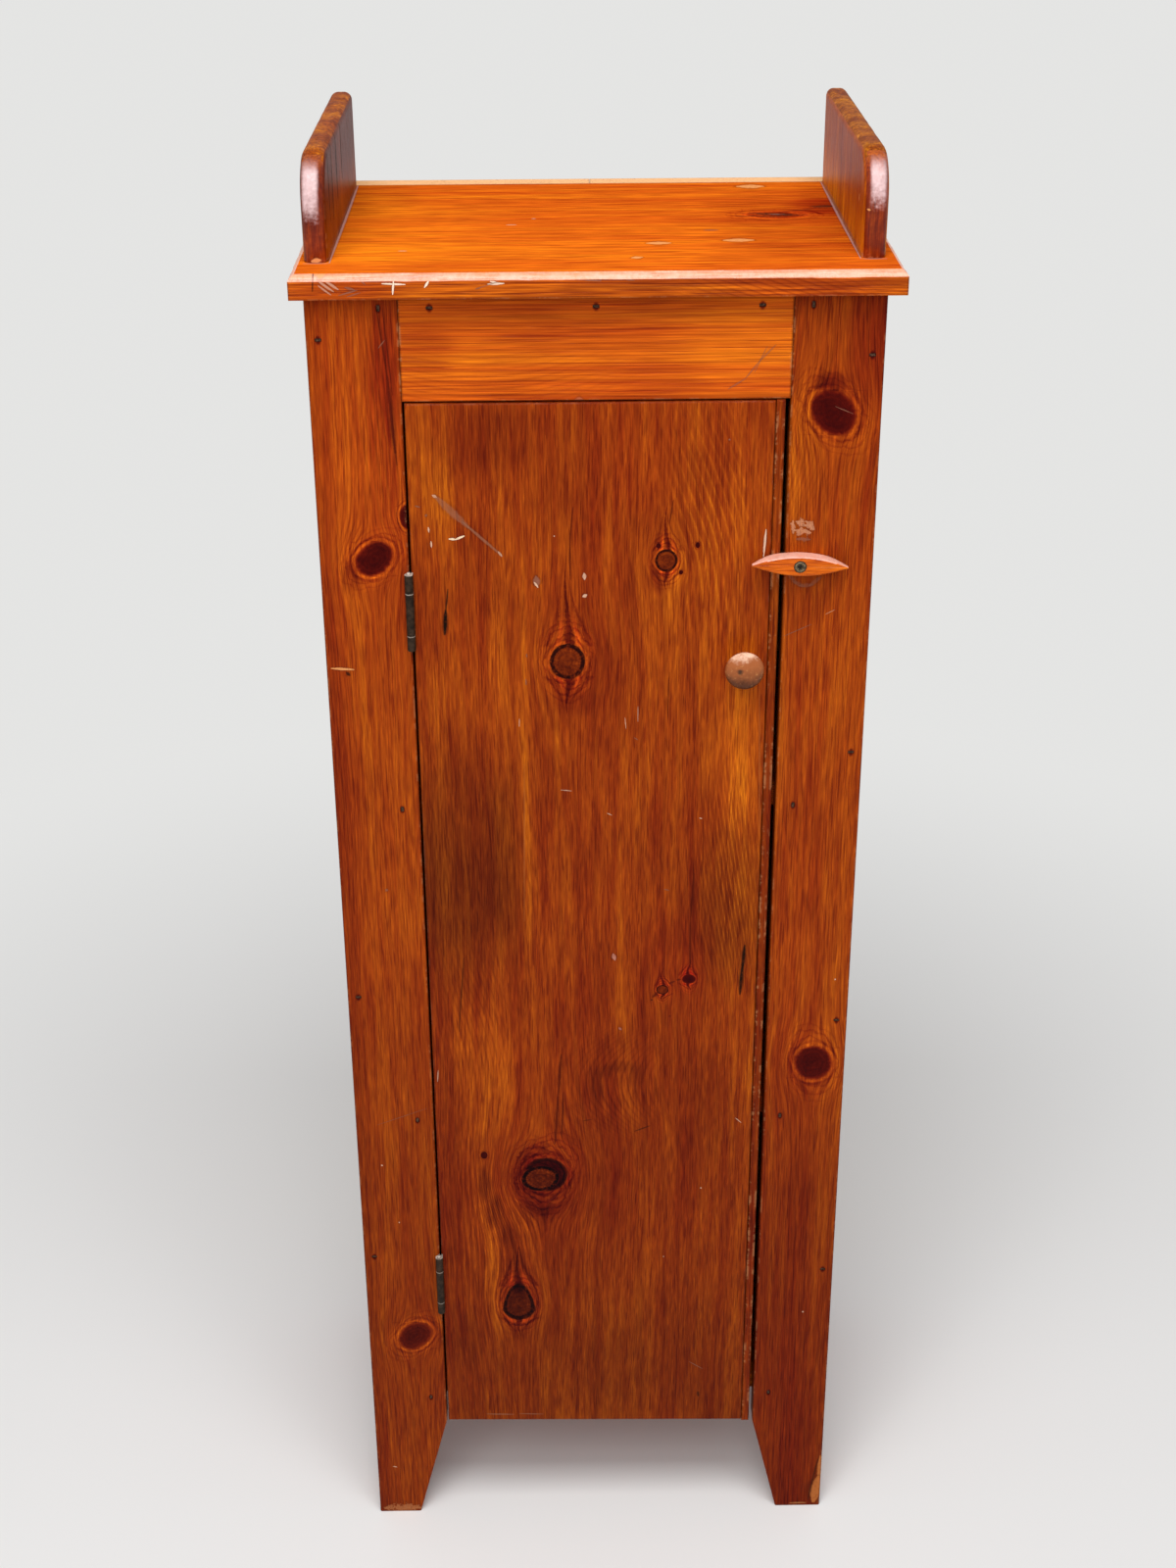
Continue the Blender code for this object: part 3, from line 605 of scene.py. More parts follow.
def dress_front_board(name, along, tone, seed, pith, knots=(), tints=(), figures=(), marks=(), holes=(), **grain):
    wood = Wood(f"{name}_pine", along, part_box(name), tone, seed, knots, pith, **grain)
    wood.stain(tints, figures, holes, marks)
    wood.wear(0.30, 0.002)
    dress([name], wood.finish())


def nails_of(side):
    return [name for name in NODES if name.startswith(f"{side}_") and "nail" in name]


STILE_GRAIN = dict(length=1.3, fine=0.85, broad=0.75)
dress_front_board(
    "left_stile", "z", -1.66, 1.0, (0.09, 0.03), holes=nails_of("left"), **STILE_GRAIN,
    knots=[
        red_knot(-1754, 9988, 124, tall=1.3, lean=-0.85),
        red_knot(-1745, 2213, 135, tall=1.35, lean=-0.7, core=-3.5, core_hue=0.65, glow=1.0),
        red_knot(-1480, 10332, 60, tall=1.7),
    ],
    tints=(
        (-1800, 11500, 2000, 2000, 0.25), (-1800, 1000, 2000, 4200, -0.4, 0.05), (-2176, 7000, 120, 8000, -0.3),
        (-1600, 11550, 100, 500, -0.55, -0.25), (-1950, 9850, 70, 120, -0.7, -0.1),
    ),
    figures=(
        (-1650, 11000, 200, 900, 42, -0.5, 0.1), (-1900, 10100, 120, 300, 40, -0.9, -0.25, 4.0, -0.1),
    ),
    marks=(
        (PITCH, 0.8, 1.2, (-1640, 11960, -1583, 11445, 7), (-1595, 11960, -1550, 11300, 6),
         (-1583, 11445, -1551, 10849, 15), (-1570, 11245, -1540, 10749, 8)),
        (BARE_PINE, 0.9, 0.9, (-2139, 9062, -1960, 9050, 14)),
        (BLACK, 0.8, 0.9, (-2020, 9025, -1995, 9000, 18)),
        (LILAC, 0.5, 0.9, (-1986, 4625, -1536, 4798, 5)),
        (LILAC, 0.7, 0.9, (-1800, 7030, -1785, 7020, 18)),
        (PALE_SCRATCH, 0.8, 0.9, (-1972, 4186, -1960, 4180, 11), (-1842, 3546, -1835, 3540, 9)),
        (LILAC, 0.6, 0.9, (-1640, 11660, -1590, 11720, 7)),
        (PALE_SCRATCH, 0.7, 0.9, (-2030, 585, -1990, 575, 7)),
        (ORANGE_CHIP, 0.65, 5.0, (-2130, 40, -1790, 40, 50)),
    ),
)
dress_front_board(
    "right_stile", "z", -1.86, 2.0, (-0.07, 0.03), holes=nails_of("right"), **STILE_GRAIN,
    knots=[
        red_knot(1781, 11132, 155, tall=1.25, lean=0.75, core=-4.3),
        red_knot(1867, 5230, 160, tall=1.1, lean=0.2, core=-4.3),
    ],
    tints=(
        (2050, 11800, 200, 600, -0.4, -0.2), (1750, 11370, 120, 80, -1.1, -0.2), (1700, 7500, 2000, 3000, 0.2),
        (1800, 600, 2000, 4000, -0.45), (1500, 10700, 160, 600, 0.3, 0.15),
    ),
    figures=(
        (1550, 10900, 200, 600, 32, -0.55, -0.35, 0.0, 0.0),
    ),
    marks=(
        (LILAC, 0.8, 1.8, (1467, 9301, 1681, 9400, 4), (1790, 11180, 1930, 11120, 4)),
        (RUBBED, 0.8, 1.8, (1790, 9485, 1862, 9523, 4)),
        (PALE_SCRATCH, 0.8, 1.8, (2020, 6092, 2026, 6085, 11), (1884, 2442, 1890, 2430, 10)),
        (RUBBED, 0.62, 4.0, (1500, 10270, 1510, 10170, 18)),
        (RUBBED, 0.62, 6.0, (1530, 10262, 1600, 10235, 26), (1600, 10260, 1660, 10200, 28),
         (1520, 10190, 1640, 10170, 24)),
        (LILAC, 0.62, 3.0, (1540, 10120, 1640, 10115, 22)),
        (LILAC, 0.4, 0.9, (1480, 9830, 1550, 9750, 20), (1520, 9765, 1610, 9722, 20), (1570, 9728, 1680, 9735, 20),
         (1650, 9728, 1740, 9800, 20)),
        (WORN_CORNER, 0.9, 0.8, (2130, 640, 2125, 300, 28), (2120, 360, 2085, 50, 66)),
        (SPLIT, 0.8, 0.8, (2105, 600, 2025, 60, 9)),
        (BARE_PINE, 0.4, 0.9, (2010, 30, 1850, 30, 12)),
    ),
)
dress_front_board(
    "top_rail", "x", -0.84, 3.0, (-0.05, 0.05), holes=[name for name in NODES if name.startswith("rail_")],
    length=3.0, rings=0.46, spacing=0.0034, streaks=0.45, broad=0.8, fine=0.65,
    tints=(
        (11900, 0, 120, 3000, -0.25), (11600, 1100, 500, 600, 0.25, 0.1), (11650, -1350, 200, 300, -0.45, -0.1),
    ),
    figures=(
        (11400, -900, 220, 800, 50, -0.5, 0.0, -2.2, 0.0),
    ),
    marks=(
        (LILAC, 0.6, 0.9, (11323, 975, 11400, 1100, 7), (11400, 1100, 11530, 1200, 6)),
        (LILAC, 0.5, 0.9, (11530, 1200, 11660, 1325, 7), (11450, 1170, 11650, 1260, 5)),
        (RED_CHIP, 0.8, 0.9, (11253, -170, 11248, -120, 26)),
    ),
)

DOOR_KNOTS = [
    ringed_knot(525, 9951, 86, 450), ringed_knot(-255, 9101, 138, 850),
    red_knot(-490, 4060, 188, tall=0.95, lean=-0.3, core=-4.2, glow=0.3, glow_hue=-0.3, bark=0.5),
    ringed_knot(-545, 4015, 165, tall=0.80, lean=0.2, core=-3.35, glow=-1.2, glow_hue=-0.2, bark=1.5),
    ringed_knot(-767, 2600, 135, 600, tall=1.55, drop=0.35, core=-3.5),
    red_knot(-1046, 4279, 30, tall=1.3, glow=0.05, bark=0.6),
    ringed_knot(535, 6005, 52, 200, tall=0.9, glow=0.8),
    red_knot(762, 6110, 58, 200, tall=0.8, core=-4.3, glow_hue=-0.3),
    red_knot(463, 10074, 20, core=-5.0, glow=0.2), red_knot(768, 10075, 19, tall=1.4, core=-5.0, glow=0.2),
    red_knot(641, 9852, 18, core=-5.0, glow=0.2),
]
DOOR_TINTS = (
    (-1300, 10600, 180, 500, 0.3, 0.15), (-850, 10950, 400, 300, -0.55, -0.05), (350, 10800, 350, 500, -0.1, -0.1),
    (1100, 9300, 280, 2000, 0.42, 0.12), (-1200, 8700, 200, 450, 0.28, 0.12), (-1160, 7170, 500, 1080, -0.52, 0.2),
    (-1260, 7000, 300, 700, -0.18, 0.08), (-1430, 7250, 110, 950, -0.3), (-800, 7250, 150, 850, -0.28, 0.1),
    (-600, 8000, 35, 1600, 0.3, 0.1), (-180, 8750, 200, 120, -0.45, -0.1), (450, 9780, 100, 100, -0.5, -0.1),
    (900, 6800, 300, 500, -0.2), (1140, 8300, 180, 800, 0.45, 0.12), (1100, 6800, 300, 750, -0.32, 0.16),
    (-1050, 5150, 240, 700, 0.36, 0.14), (-850, 5700, 110, 850, 0.34, 0.12), (-1350, 4400, 100, 1600, -0.25),
    (-1050, 3970, 60, 200, -0.75, 0.05), (-960, 3660, 80, 180, -0.75, 0.05), (-850, 3390, 80, 170, -0.65, 0.05),
    (-790, 3120, 40, 200, -0.4, 0.05), (-600, 3620, 180, 140, -0.35, 0.05), (-1130, 3550, 60, 300, 0.25, 0.05),
    (-1010, 3000, 80, 450, 0.4, 0.08), (-950, 2450, 60, 280, 0.35, 0.08), (-1250, 2150, 140, 350, -0.3),
    (0, 500, 3000, 3000, -0.48), (200, 4700, 500, 1300, -0.25), (1000, 4500, 300, 1000, -0.28),
    (660, 6350, 220, 450, -0.16, -0.16), (100, 1800, 400, 600, -0.22), (-40, 5000, 60, 160, -0.42, 0.05),
    (40, 5170, 100, 70, -0.42, 0.05), (180, 5220, 120, 60, -0.42, 0.05), (320, 5120, 70, 120, -0.42, 0.05),
    (200, 1000, 2000, 2000, 0.0, 0.16), (-767, 2765, 55, 65, -1.6, -0.2),
)
DOOR_FIGURES = (
    (850, 10200, 320, 900, 62, 0.8, 0.27, 1.0, 0.3), (1080, 7000, 260, 1000, 34, 1.1, 0.16),
    (-950, 3300, 400, 1200, 50, 1.0, 0.0, 0.0, 0.05), (-1100, 5500, 300, 900, 42, -0.6, 0.22, 1.0, 0.0),
    (140, 5000, 340, 400, 60, -0.9, 0.0, -12.0, 0.0), (-960, 3720, 150, 500, 22, -1.3, 0.1, 0.0, -0.1),
    (-520, 3520, 300, 220, 26, -0.9, 0.0, 0.0, -0.1),
)
DOOR_MARKS = (
    (BLACK, 0.85, 0.8, (-1187, 9732, -1212, 9530, 8)),
    (BLACK, 1.0, 0.8, (-1210, 9550, -1224, 9345, 19)),
    (BLACK, 0.95, 0.8, (1234, 6438, 1222, 6200, 16), (1222, 6260, 1205, 5945, 17)),
    (BLACK, 0.6, 0.8, (-1165, 6350, -1230, 5600, 7)),
    (BLACK, 0.7, 0.8, (920, 1480, 925, 1420, 12)),
    (PITCH, 0.8, 1.2, (-225, 9800, -230, 10100, 6), (-230, 10100, -200, 10400, 5), (545, 10250, 575, 10450, 6),
     (560, 9000, 550, 8600, 5), (790, 7150, 765, 6700, 8), (765, 6700, 770, 6220, 8), (590, 6066, 640, 6090, 9),
     (655, 6102, 690, 6108, 8), (450, 5930, 500, 5985, 14), (-345, 5350, -375, 4900, 11),
     (-375, 4900, -410, 4400, 12), (-330, 4950, -350, 4450, 7), (-720, 2950, -750, 3250, 8)),
    (SCRAPE, 0.5, 0.9, (-1262, 10498, -1010, 10240, 34)),
    (SCRAPE, 0.6, 0.9, (-1060, 10290, -758, 10006, 14)),
    (PALE_SCRATCH, 0.5, 0.9, (-1280, 10505, -1250, 10490, 14), (-785, 10040, -758, 10000, 10)),
    (NOTCH, 1.0, 0.9, (-1165, 10148, -1110, 10142, 11), (-1115, 10142, -1045, 10172, 11)),
    (LILAC, 0.9, 0.9, (-1340, 10334, -1330, 10350, 10), (-495, 9825, -485, 9750, 30), (990, 10930, 1000, 10925, 10)),
    (PALE_SCRATCH, 0.8, 0.9, (-1321, 10245, -1317, 10205, 8), (-510, 9780, -480, 9735, 10),
     (-128, 9655, -100, 9668, 18), (-320, 7950, -230, 7940, 4), (60, 7730, 100, 7710, 4), (825, 7675, 845, 7670, 6),
     (902, 3890, 908, 3880, 10), (574, 3112, 576, 3106, 8), (-350, 10165, -346, 10160, 8)),
    (PALE_SCRATCH, 0.9, 0.9, (-1304, 10130, -1302, 10080, 8)),
    (LILAC, 0.8, 0.9, (-1415, 10420, -1380, 10410, 8), (-580, 9170, -578, 9140, 7), (-590, 8950, -588, 8900, 7),
     (540, 7000, 580, 6990, 7)),
    (PALE_SCRATCH, 0.7, 0.9, (-118, 9850, -114, 9800, 17), (-648, 8600, -650, 8530, 4), (1200, 4650, 1250, 4600, 5)),
    (DULL_CHIP, 0.9, 0.9, (110, 6370, 126, 6310, 20)),
    (BLACK, 0.8, 0.9, (440, 5908, 446, 5900, 11)),
    (PITCH, 0.8, 0.9, (600, 5740, 606, 5730, 9)),
    (BROWN_CHIP, 0.7, 0.9, (160, 5620, 180, 5600, 16)),
    (BLACK, 0.7, 0.9, (300, 4520, 440, 4580, 6)),
    (BLACK, 0.6, 0.9, (-160, 4640, -80, 4655, 5)),
    (PALE_SCRATCH, 0.6, 0.9, (205, 8600, 215, 8500, 4), (310, 8700, 310, 8560, 3), (-1425, 5200, -1435, 5080, 6)),
    (LILAC, 0.7, 0.9, (830, 1850, 960, 1760, 6), (280, 8420, 310, 8400, 6)),
    (GOLDEN, 0.5, 0.9, (-615, 8188, -642, 6706, 5), (1285, 8868, 1326, 7527, 5)),
    (EDGE_CHIP, 0.9, 0.9, (1296, 10200, 1284, 9975, 11)),
    (FAINT, 0.4, 0.9, (-1100, 1236, -840, 1226, 9)),
    (FAINT, 0.35, 0.9, (-790, 1234, -560, 1224, 8)),
)


def plank_material(name, box, zone, marked=True):
    """One part of the door's face, so that no material grows too big, or its unmarked inner side."""
    knots = DOOR_KNOTS if marked else [knot for knot in DOOR_KNOTS if knot["radius"] > 0.008]
    wood = Wood(name, "z", box, -1.88, 7.0, knots, (0.02, 0.10), zone=zone, rings=0.25, fine=0.82, streaks=1.15)
    if marked:
        wood.stain(DOOR_TINTS, DOOR_FIGURES, (), DOOR_MARKS)
        wood.wear(0.15, 0.0018, (0.40, 0.20, 0.12, 1))
    else:
        wood.stain()
        wood.wear(0.3, 0.0020)
    return wood.finish()


def dress_plain(name, along, tone, seed, wear=0.3, knots=()):
    wood = Wood(f"{name}_pine", along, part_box(name), tone, seed, knots)
    wood.stain()
    wood.wear(wear)
    dress([name], wood.finish())


def dress_raw(name, seed, knots):
    """A board that was never stained."""
    wood = Wood(
        f"{name}_pine", "z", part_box(name), 0.05, seed, knots, fine=0.3, streaks=0.5, broad=0.6, rings=0.45
    )
    wood.use(bare_group)
    wood.wear(0.3, 0.004, (0.55, 0.36, 0.18, 1), grime=0.25)
    dress([name], wood.finish(0.15, 0.75, 0.0006))


dress_plain("door_edge_strip", "z", -2.25, 8.0, wear=0.5)
SIDE_KNOTS = {
    "left_side": ((-300, 9300, 150, 0.4), (750, 5600, 125, -0.3), (-700, 3100, 110, 0.2)),
    "right_side": ((400, 10100, 140, -0.4), (-600, 6900, 115, 0.3), (850, 2700, 150, 0.1)),
}
for number, (name, knots) in enumerate(SIDE_KNOTS.items()):
    dress_plain(name, "z", -1.75, 9.0 + number, knots=[red_knot(*place, lean=lean) for *place, lean in knots])
for number, name in enumerate(("bottom_shelf", "lower_shelf", "upper_shelf", "case_top")):
    dress_plain(name, "x", -1.6, 12.0 + number)
BACK_KNOTS = {
    "left_back_board": ((-1200, 9800, 130), (-600, 5200, 90), (-1650, 3000, 110)),
    "right_back_board": ((850, 7600, 140), (1500, 10900, 80), (600, 2200, 100)),
}
for number, (name, knots) in enumerate(BACK_KNOTS.items()):
    dress_raw(name, 20.0 + number, [red_knot(*place, core=-2.0, bark=0.3, glow=-0.3) for place in knots])


def metal(name, dark, bright, roughness, scale, gloss, rings=()):
    """Mottled metal. Each ring is a height, half its width and how much paler it is."""
    shader = Shader(name)
    spot = shader.place()
    patch = shader.noise(spot, (scale,) * 3, 4.0, 0.65)
    colour = shader.mix(patch.rise(-0.18, 0.2), (*dark, 1), (*bright, 1))
    z = spot.apart()[2]
    for height, half, strength in rings:
        line = (abs(z - height) / half + patch * 0.8).fall(0.5, 1.0) * strength
        colour = shader.mix(line, colour, (0.62, 0.52, 0.44, 1))
    return shader.finish(colour, roughness + patch * 0.25, patch, 0.0001, Specular_IOR_Level=gloss)


HINGES = [centre(f"{name}_door_leaf") for name in ("upper_hinge", "lower_hinge")]
HINGE_RINGS = [
    (hinge.z + up, half, strength)
    for hinge in HINGES
    for up, half, strength in ((0.0162, 0.0005, 0.5), (-0.0197, 0.0005, 0.4), (0.0330, 0.0014, 0.9))
]
bronze = metal("dark_bronze", (0.012, 0.007, 0.004), (0.045, 0.025, 0.014), 0.50, 200, 0.12, HINGE_RINGS)
steel = metal("dull_steel", (0.014, 0.007, 0.005), (0.15, 0.075, 0.045), 0.60, 700, 0.10)
dress([name for name in NODES if "hinge" in name and "screw" not in name], bronze)
dress([name for name in NODES if name.endswith(("screw", "brad", "bolt", "nail")) or "_side_nail" in name], steel)


def cross_head(name, node, turn, arm, reach):
    """Dull metal with a dark cross cut into a screw's head."""
    middle = centre(node)
    shader = Shader(name)
    spot = shader.place()
    patch = shader.noise(spot, (500, 500, 500), 3.0, 0.6)
    x, _, z = spot.apart()
    dx, dz = x - middle.x, z - middle.z
    cos, sin = math.cos(turn), math.sin(turn)
    across, up = abs(dx * cos + dz * sin), abs(dz * cos - dx * sin)
    cut = across.low(up).fall(arm * 0.6, arm) * across.high(up).fall(reach * 0.8, reach)
    rim = (dx * dx + dz * dz).root().rise(0.0036, 0.0046)
    colour = shader.mix(patch.rise(-0.2, 0.2), (0.050, 0.032, 0.018, 1), (0.24, 0.17, 0.09, 1))
    colour = shader.mix(cut.high(rim) * 0.92, colour, (0.012, 0.007, 0.005, 1))
    return shader.finish(colour, patch * 0.2 + 0.5, cut * -1.0 + patch * 0.2, 0.0005, Specular_IOR_Level=0.3)


dress(["turn_button_screw"], cross_head("worn_screw_head", "turn_button_screw", 0.35, 0.0009, 0.0030))


# Pieces that stand for solids whose edges matter


def new_piece(name, node, body, slot, points, faces, materials, choose=None, sharp=40):
    """Builds a piece that stands for a CAD node. choose(centre, normal) picks a face's material."""
    mesh = bpy.data.meshes.new(name)
    mesh.from_pydata(points, [], faces)
    shape = bmesh.new()
    shape.from_mesh(mesh)
    bmesh.ops.recalc_face_normals(shape, faces=shape.faces)
    if choose:
        for face in shape.faces:
            face.material_index = choose(face.calc_center_median(), face.normal)
    shape.to_mesh(mesh)
    shape.free()
    mesh.shade_smooth()
    mesh.set_sharp_from_angle(angle=math.radians(sharp))
    for material in materials:
        mesh.materials.append(material)
    obj = placed(name, mesh)
    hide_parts(node)
    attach(obj, body)


def block_surface(ticks):
    """Points and faces on the outside of a block, cut at three lists of ticks."""
    last = [len(values) - 1 for values in ticks]
    points, numbers, faces = [], {}, []

    def number(*index):
        if index not in numbers:
            numbers[index] = len(points)
            points.append(Vector([values[step] for values, step in zip(ticks, index)]))
        return numbers[index]

    for axis in (0, 1, 2):
        one, two = [other for other in (0, 1, 2) if other != axis]
        for end in (0, last[axis]):
            for i in range(last[one]):
                for j in range(last[two]):
                    corners = []
                    for di, dj in ((0, 0), (1, 0), (1, 1), (0, 1)):
                        index = [0, 0, 0]
                        index[axis], index[one], index[two] = end, i + di, j + dj
                        corners.append(number(*index))
                    faces.append(corners)
    return points, faces


def spaced(start, end, step, near_start=(), near_end=()):
    """Ticks between two places: given distances from each end, and even steps between."""
    first = [start + offset for offset in (0, *near_start)]
    final = [end - offset for offset in (0, *near_end)][::-1]
    count = max(1, round((final[0] - first[-1]) / step))
    between = [first[-1] + (final[0] - first[-1]) * number / count for number in range(1, count)]
    return first + between + final


def bumpy(place, scale, seed):
    """Smooth noise about zero at a place, the same each run."""
    return noise.noise(place * scale + Vector((seed, seed * 1.7, seed * 0.3)))


TOP_TINTS = (
    (-200, -1600, 1200, 750, 0.15, 0.12), (0, 1750, 1200, 800, -0.45, -0.05), (1000, -1900, 1400, 400, -0.15, 0.12),
    (-1000, -1900, 500, 350, 0.05), (577, 1915, 300, 300, -0.7, -0.35),
)
TOP_FIGURES = (
    (300, 1500, 300, 550, 80, -0.9, 0.25, -3.0, -0.1),
)
TOP_MARKS = (
    (BARE_PINE, 0.95, 0.9, (1350, 1245, 1350, 1435, 85), (-1128, 260, -1110, 330, 40)),
    (BARE_PINE, 0.85, 0.9, (-666, 395, -666, 560, 52), (-593, 990, -593, 1200, 62)),
    (LILAC, 0.7, 0.9, (-250, 850, -250, 960, 22)),
    (PALE_SCRATCH, 0.6, 0.9, (-10, -700, -10, -620, 14), (200, -500, 200, -470, 14)),
    (PALE_SCRATCH, 0.5, 0.9, (-850, -1500, -850, -1440, 16)),
    (KNOT_BARK, 0.7, 3.0, (350, 1180, 310, 1480, 16), (240, 1130, 220, 1500, 17)),
    (KNOT_BARK, 0.8, 3.0, (300, 1320, 275, 1600, 34)),
    (KNOT_BARK, 0.7, 3.0, (235, 1430, 270, 1750, 15)),
    (KNOT_BARK, 0.5, 3.0, (370, 1500, 480, 1800, 13)),
    (KNOT_BARK, 0.7, 3.0, (550, 1780, 565, 1960, 45)),
    (KNOT_GREY, 0.6, 2.5, (290, 1400, 285, 1530, 13)),
    # Painted highlight: pale pinkish lines where the end boards stand on the top
    (SEAM, 0.75, 0.7, (-1212, -1991, 1720, -1991, 14), (-1212, 1958, 1720, 1958, 14)),
    (SEAM, 0.6, 0.7, (-1220, -2183.5, -1220, -1998.5, 12), (-1220, 1965.5, -1220, 2150.5, 12)),
)
TOP_EDGE_MARKS = (
    (BARE_PINE, 0.7, 0.9, (-1530, -2060, -1530, -2000, 40)),
    (BLACK, 0.9, 0.9, (-1576, -2082, -1500, -2082, 5)),
)
TOP_FACE_TINTS = (
    (12130, -1900, 300, 400, -0.25, -0.25), (12130, 1600, 300, 600, -0.2, -0.2),
)
TOP_FACE_FIGURES = (
    (12130, 1300, 300, 600, 40, -0.7, 0.35, 0.0, 0.0),
)
TOP_FACE_MARKS = (
    (IVORY, 1.0, 0.9, (12175, -1580, 12168, -1410, 9), (12195, -1495, 12095, -1505, 9),
     (12190, -1240, 12145, -1270, 11)),
    (IVORY, 0.9, 0.9, (12165, -810, 12170, -690, 10), (12185, -790, 12175, -740, 8)),
    (LILAC, 0.7, 0.9, (12130, -900, 12140, -860, 6), (12205, -1740, 12170, -1700, 7), (12188, -100, 12180, 20, 6)),
    (GREY_SCRATCH, 0.7, 0.9, (12200, -2045, 12120, -1935, 12), (12200, -1995, 12135, -1900, 13)),
    (GREY_SCRATCH, 0.6, 0.9, (12165, -2045, 12095, -1955, 9)),
    (LILAC, 0.7, 0.9, (12150, -1850, 12130, -1780, 12)),
    (BLACK, 0.9, 0.9, (12200, -2082, 12120, -2088, 5)),
    (LILAC, 0.8, 0.9, (12090, -1900, 12130, -1760, 7), (12190, 200, 12185, 260, 7)),
    (LILAC, 0.7, 0.9, (12080, -1840, 12110, -1740, 6)),
    (LILAC, 0.6, 0.9, (12130, -900, 12180, -740, 5)),
)


def top_materials(box):
    """The top's flat, its broken edges and its front face."""
    flat = Wood(
        "top_board_pine", "x", box, -0.58, 4.0, fine=0.85, streaks=0.6, broad=0.5, rings=0.26, length=1.7,
        spacing=0.0060, knots=[red_knot(272, 1455, 150, tall=1.9, core=-1.25, core_hue=0.75, glow=0.05, grip=0.7)],
    )
    flat.hue = flat.hue * 0.99
    flat.stain(TOP_TINTS, TOP_FIGURES, (), TOP_MARKS)
    flat.wear(0.35, 0.0025)
    edge = Wood("top_edge_pine", "x", box, -0.25, 4.0, fine=0.4, streaks=0.4, broad=0.3, rings=0.1, length=2.0)
    edge.stain()
    # The broken edges are paler all along: partly worn finish, partly a painted highlight
    edge.paint = edge.shader.mix(edge.patchy * 0.9 + edge.ragged * 0.7 + 0.50, edge.paint, (0.73, 0.435, 0.315, 1))
    edge.draw(TOP_EDGE_MARKS)
    face = Wood(
        "top_face_pine", "x", box, -1.15, 36.0, thin="y", fine=1.2, streaks=0.8, broad=0.7, rings=0.5, length=2.4,
        spacing=0.0026,
    )
    face.hue = face.hue + 0.15
    face.stain(TOP_FACE_TINTS, TOP_FACE_FIGURES, (), TOP_FACE_MARKS)
    face.wear(0.12, 0.0018)
    return [flat.finish(0.0), edge.finish(0.55, 0.33), face.finish(0.05)]


def make_top_board():
    """The top, with its upper edges broken at 45 degrees and a little knocked about."""
    low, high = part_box("top_board")
    steps = (0.0008, 0.0016, 0.0024, 0.0032, 0.0040, CHAMFER, 0.0062)
    ticks = (
        spaced(low.x, high.x, 0.005, steps, steps),
        spaced(low.y, high.y, 0.008, steps),
        spaced(low.z, high.z, 0.004, (0.0006,), steps),
    )
    points, faces = block_surface(ticks)
    for point in points:
        sides = [("x", 1, point.x - low.x), ("x", -1, high.x - point.x), ("y", 1, point.y - low.y)]
        inward = min(distance for _, _, distance in sides)
        down = high.z - point.z
        if inward >= CHAMFER or down >= CHAMFER:
            continue
        across, depth = (CHAMFER - inward) / CHAMFER, (CHAMFER - down) / CHAMFER
        size = (across ** CHAMFER_POWER + depth ** CHAMFER_POWER) ** (1 / CHAMFER_POWER)
        wear = max(0.0, bumpy(point, 60, 1) + 0.5 * bumpy(point, 170, 2)) * ARRIS_WEAR
        new_inward = CHAMFER - CHAMFER * across / size + wear
        point.z = high.z - (CHAMFER - CHAMFER * depth / size) - wear
        for axis, sign, distance in sides:
            if distance < CHAMFER:
                stretch = (CHAMFER - new_inward) / (CHAMFER - inward)
                moved = new_inward + (distance - inward) * stretch
                setattr(point, axis, getattr(point, axis) + sign * (moved - distance))

    def choose(_, normal):
        if 0.3 < normal.z < 0.93:
            return 1
        return 2 if normal.y < -0.7 else 0

    new_piece(
        "top_board_worn", "top_board", "cabinet", "stained_pine", points, faces, top_materials((low, high)), choose
    )


def rings_surface(rings):
    """Points and faces of a closed solid through rings of equally many points, with flat ends."""
    count = len(rings[0])
    points = [point for ring in rings for point in ring]
    faces = []
    for first in range(len(rings) - 1):
        for step in range(count):
            after = (step + 1) % count
            start, end = first * count, (first + 1) * count
            faces.append((start + step, start + after, end + after, end + step))
    faces.append(tuple(range(count)))
    faces.append(tuple(range(len(points) - count, len(points)))[::-1])
    return points, faces


def quarter(steps, first=0):
    """Angles from 0, or from a later step, to a right angle."""
    return [math.pi / 2 * step / steps for step in range(first, steps + 1)]


def rounding_stations(thickness, radius, steps=5):
    """(place through the board, distance inward) across both rounded edges, with a support ring in each face."""
    near = [(0.0, radius + 0.0006)]
    near += [(radius * (1 - math.cos(a)), radius * (1 - math.sin(a))) for a in quarter(steps)]
    middle = [(thickness * share, 0.0) for share in (0.35, 0.5, 0.65)]
    return near + middle + [(thickness - place, inward) for place, inward in reversed(near)]


def end_outline(low, high, inward):
    """An end board's side view, as (y, z) points, moved inward all round except at its foot."""
    front, back, foot, crest = low.y + inward, high.y - inward, low.z, high.z - inward
    radius = END_CORNER - inward
    shoulder = crest - radius
    return (
        [(front, foot + (shoulder - foot) * step / 10) for step in range(10)]
        + [(front + radius - radius * math.cos(a), shoulder + radius * math.sin(a)) for a in quarter(20)]
        + [(front + radius + (back - front - radius) * step / 40, crest) for step in range(1, 41)]
        + [(back, crest - (crest - foot) * step / 12) for step in range(1, 13)]
    )


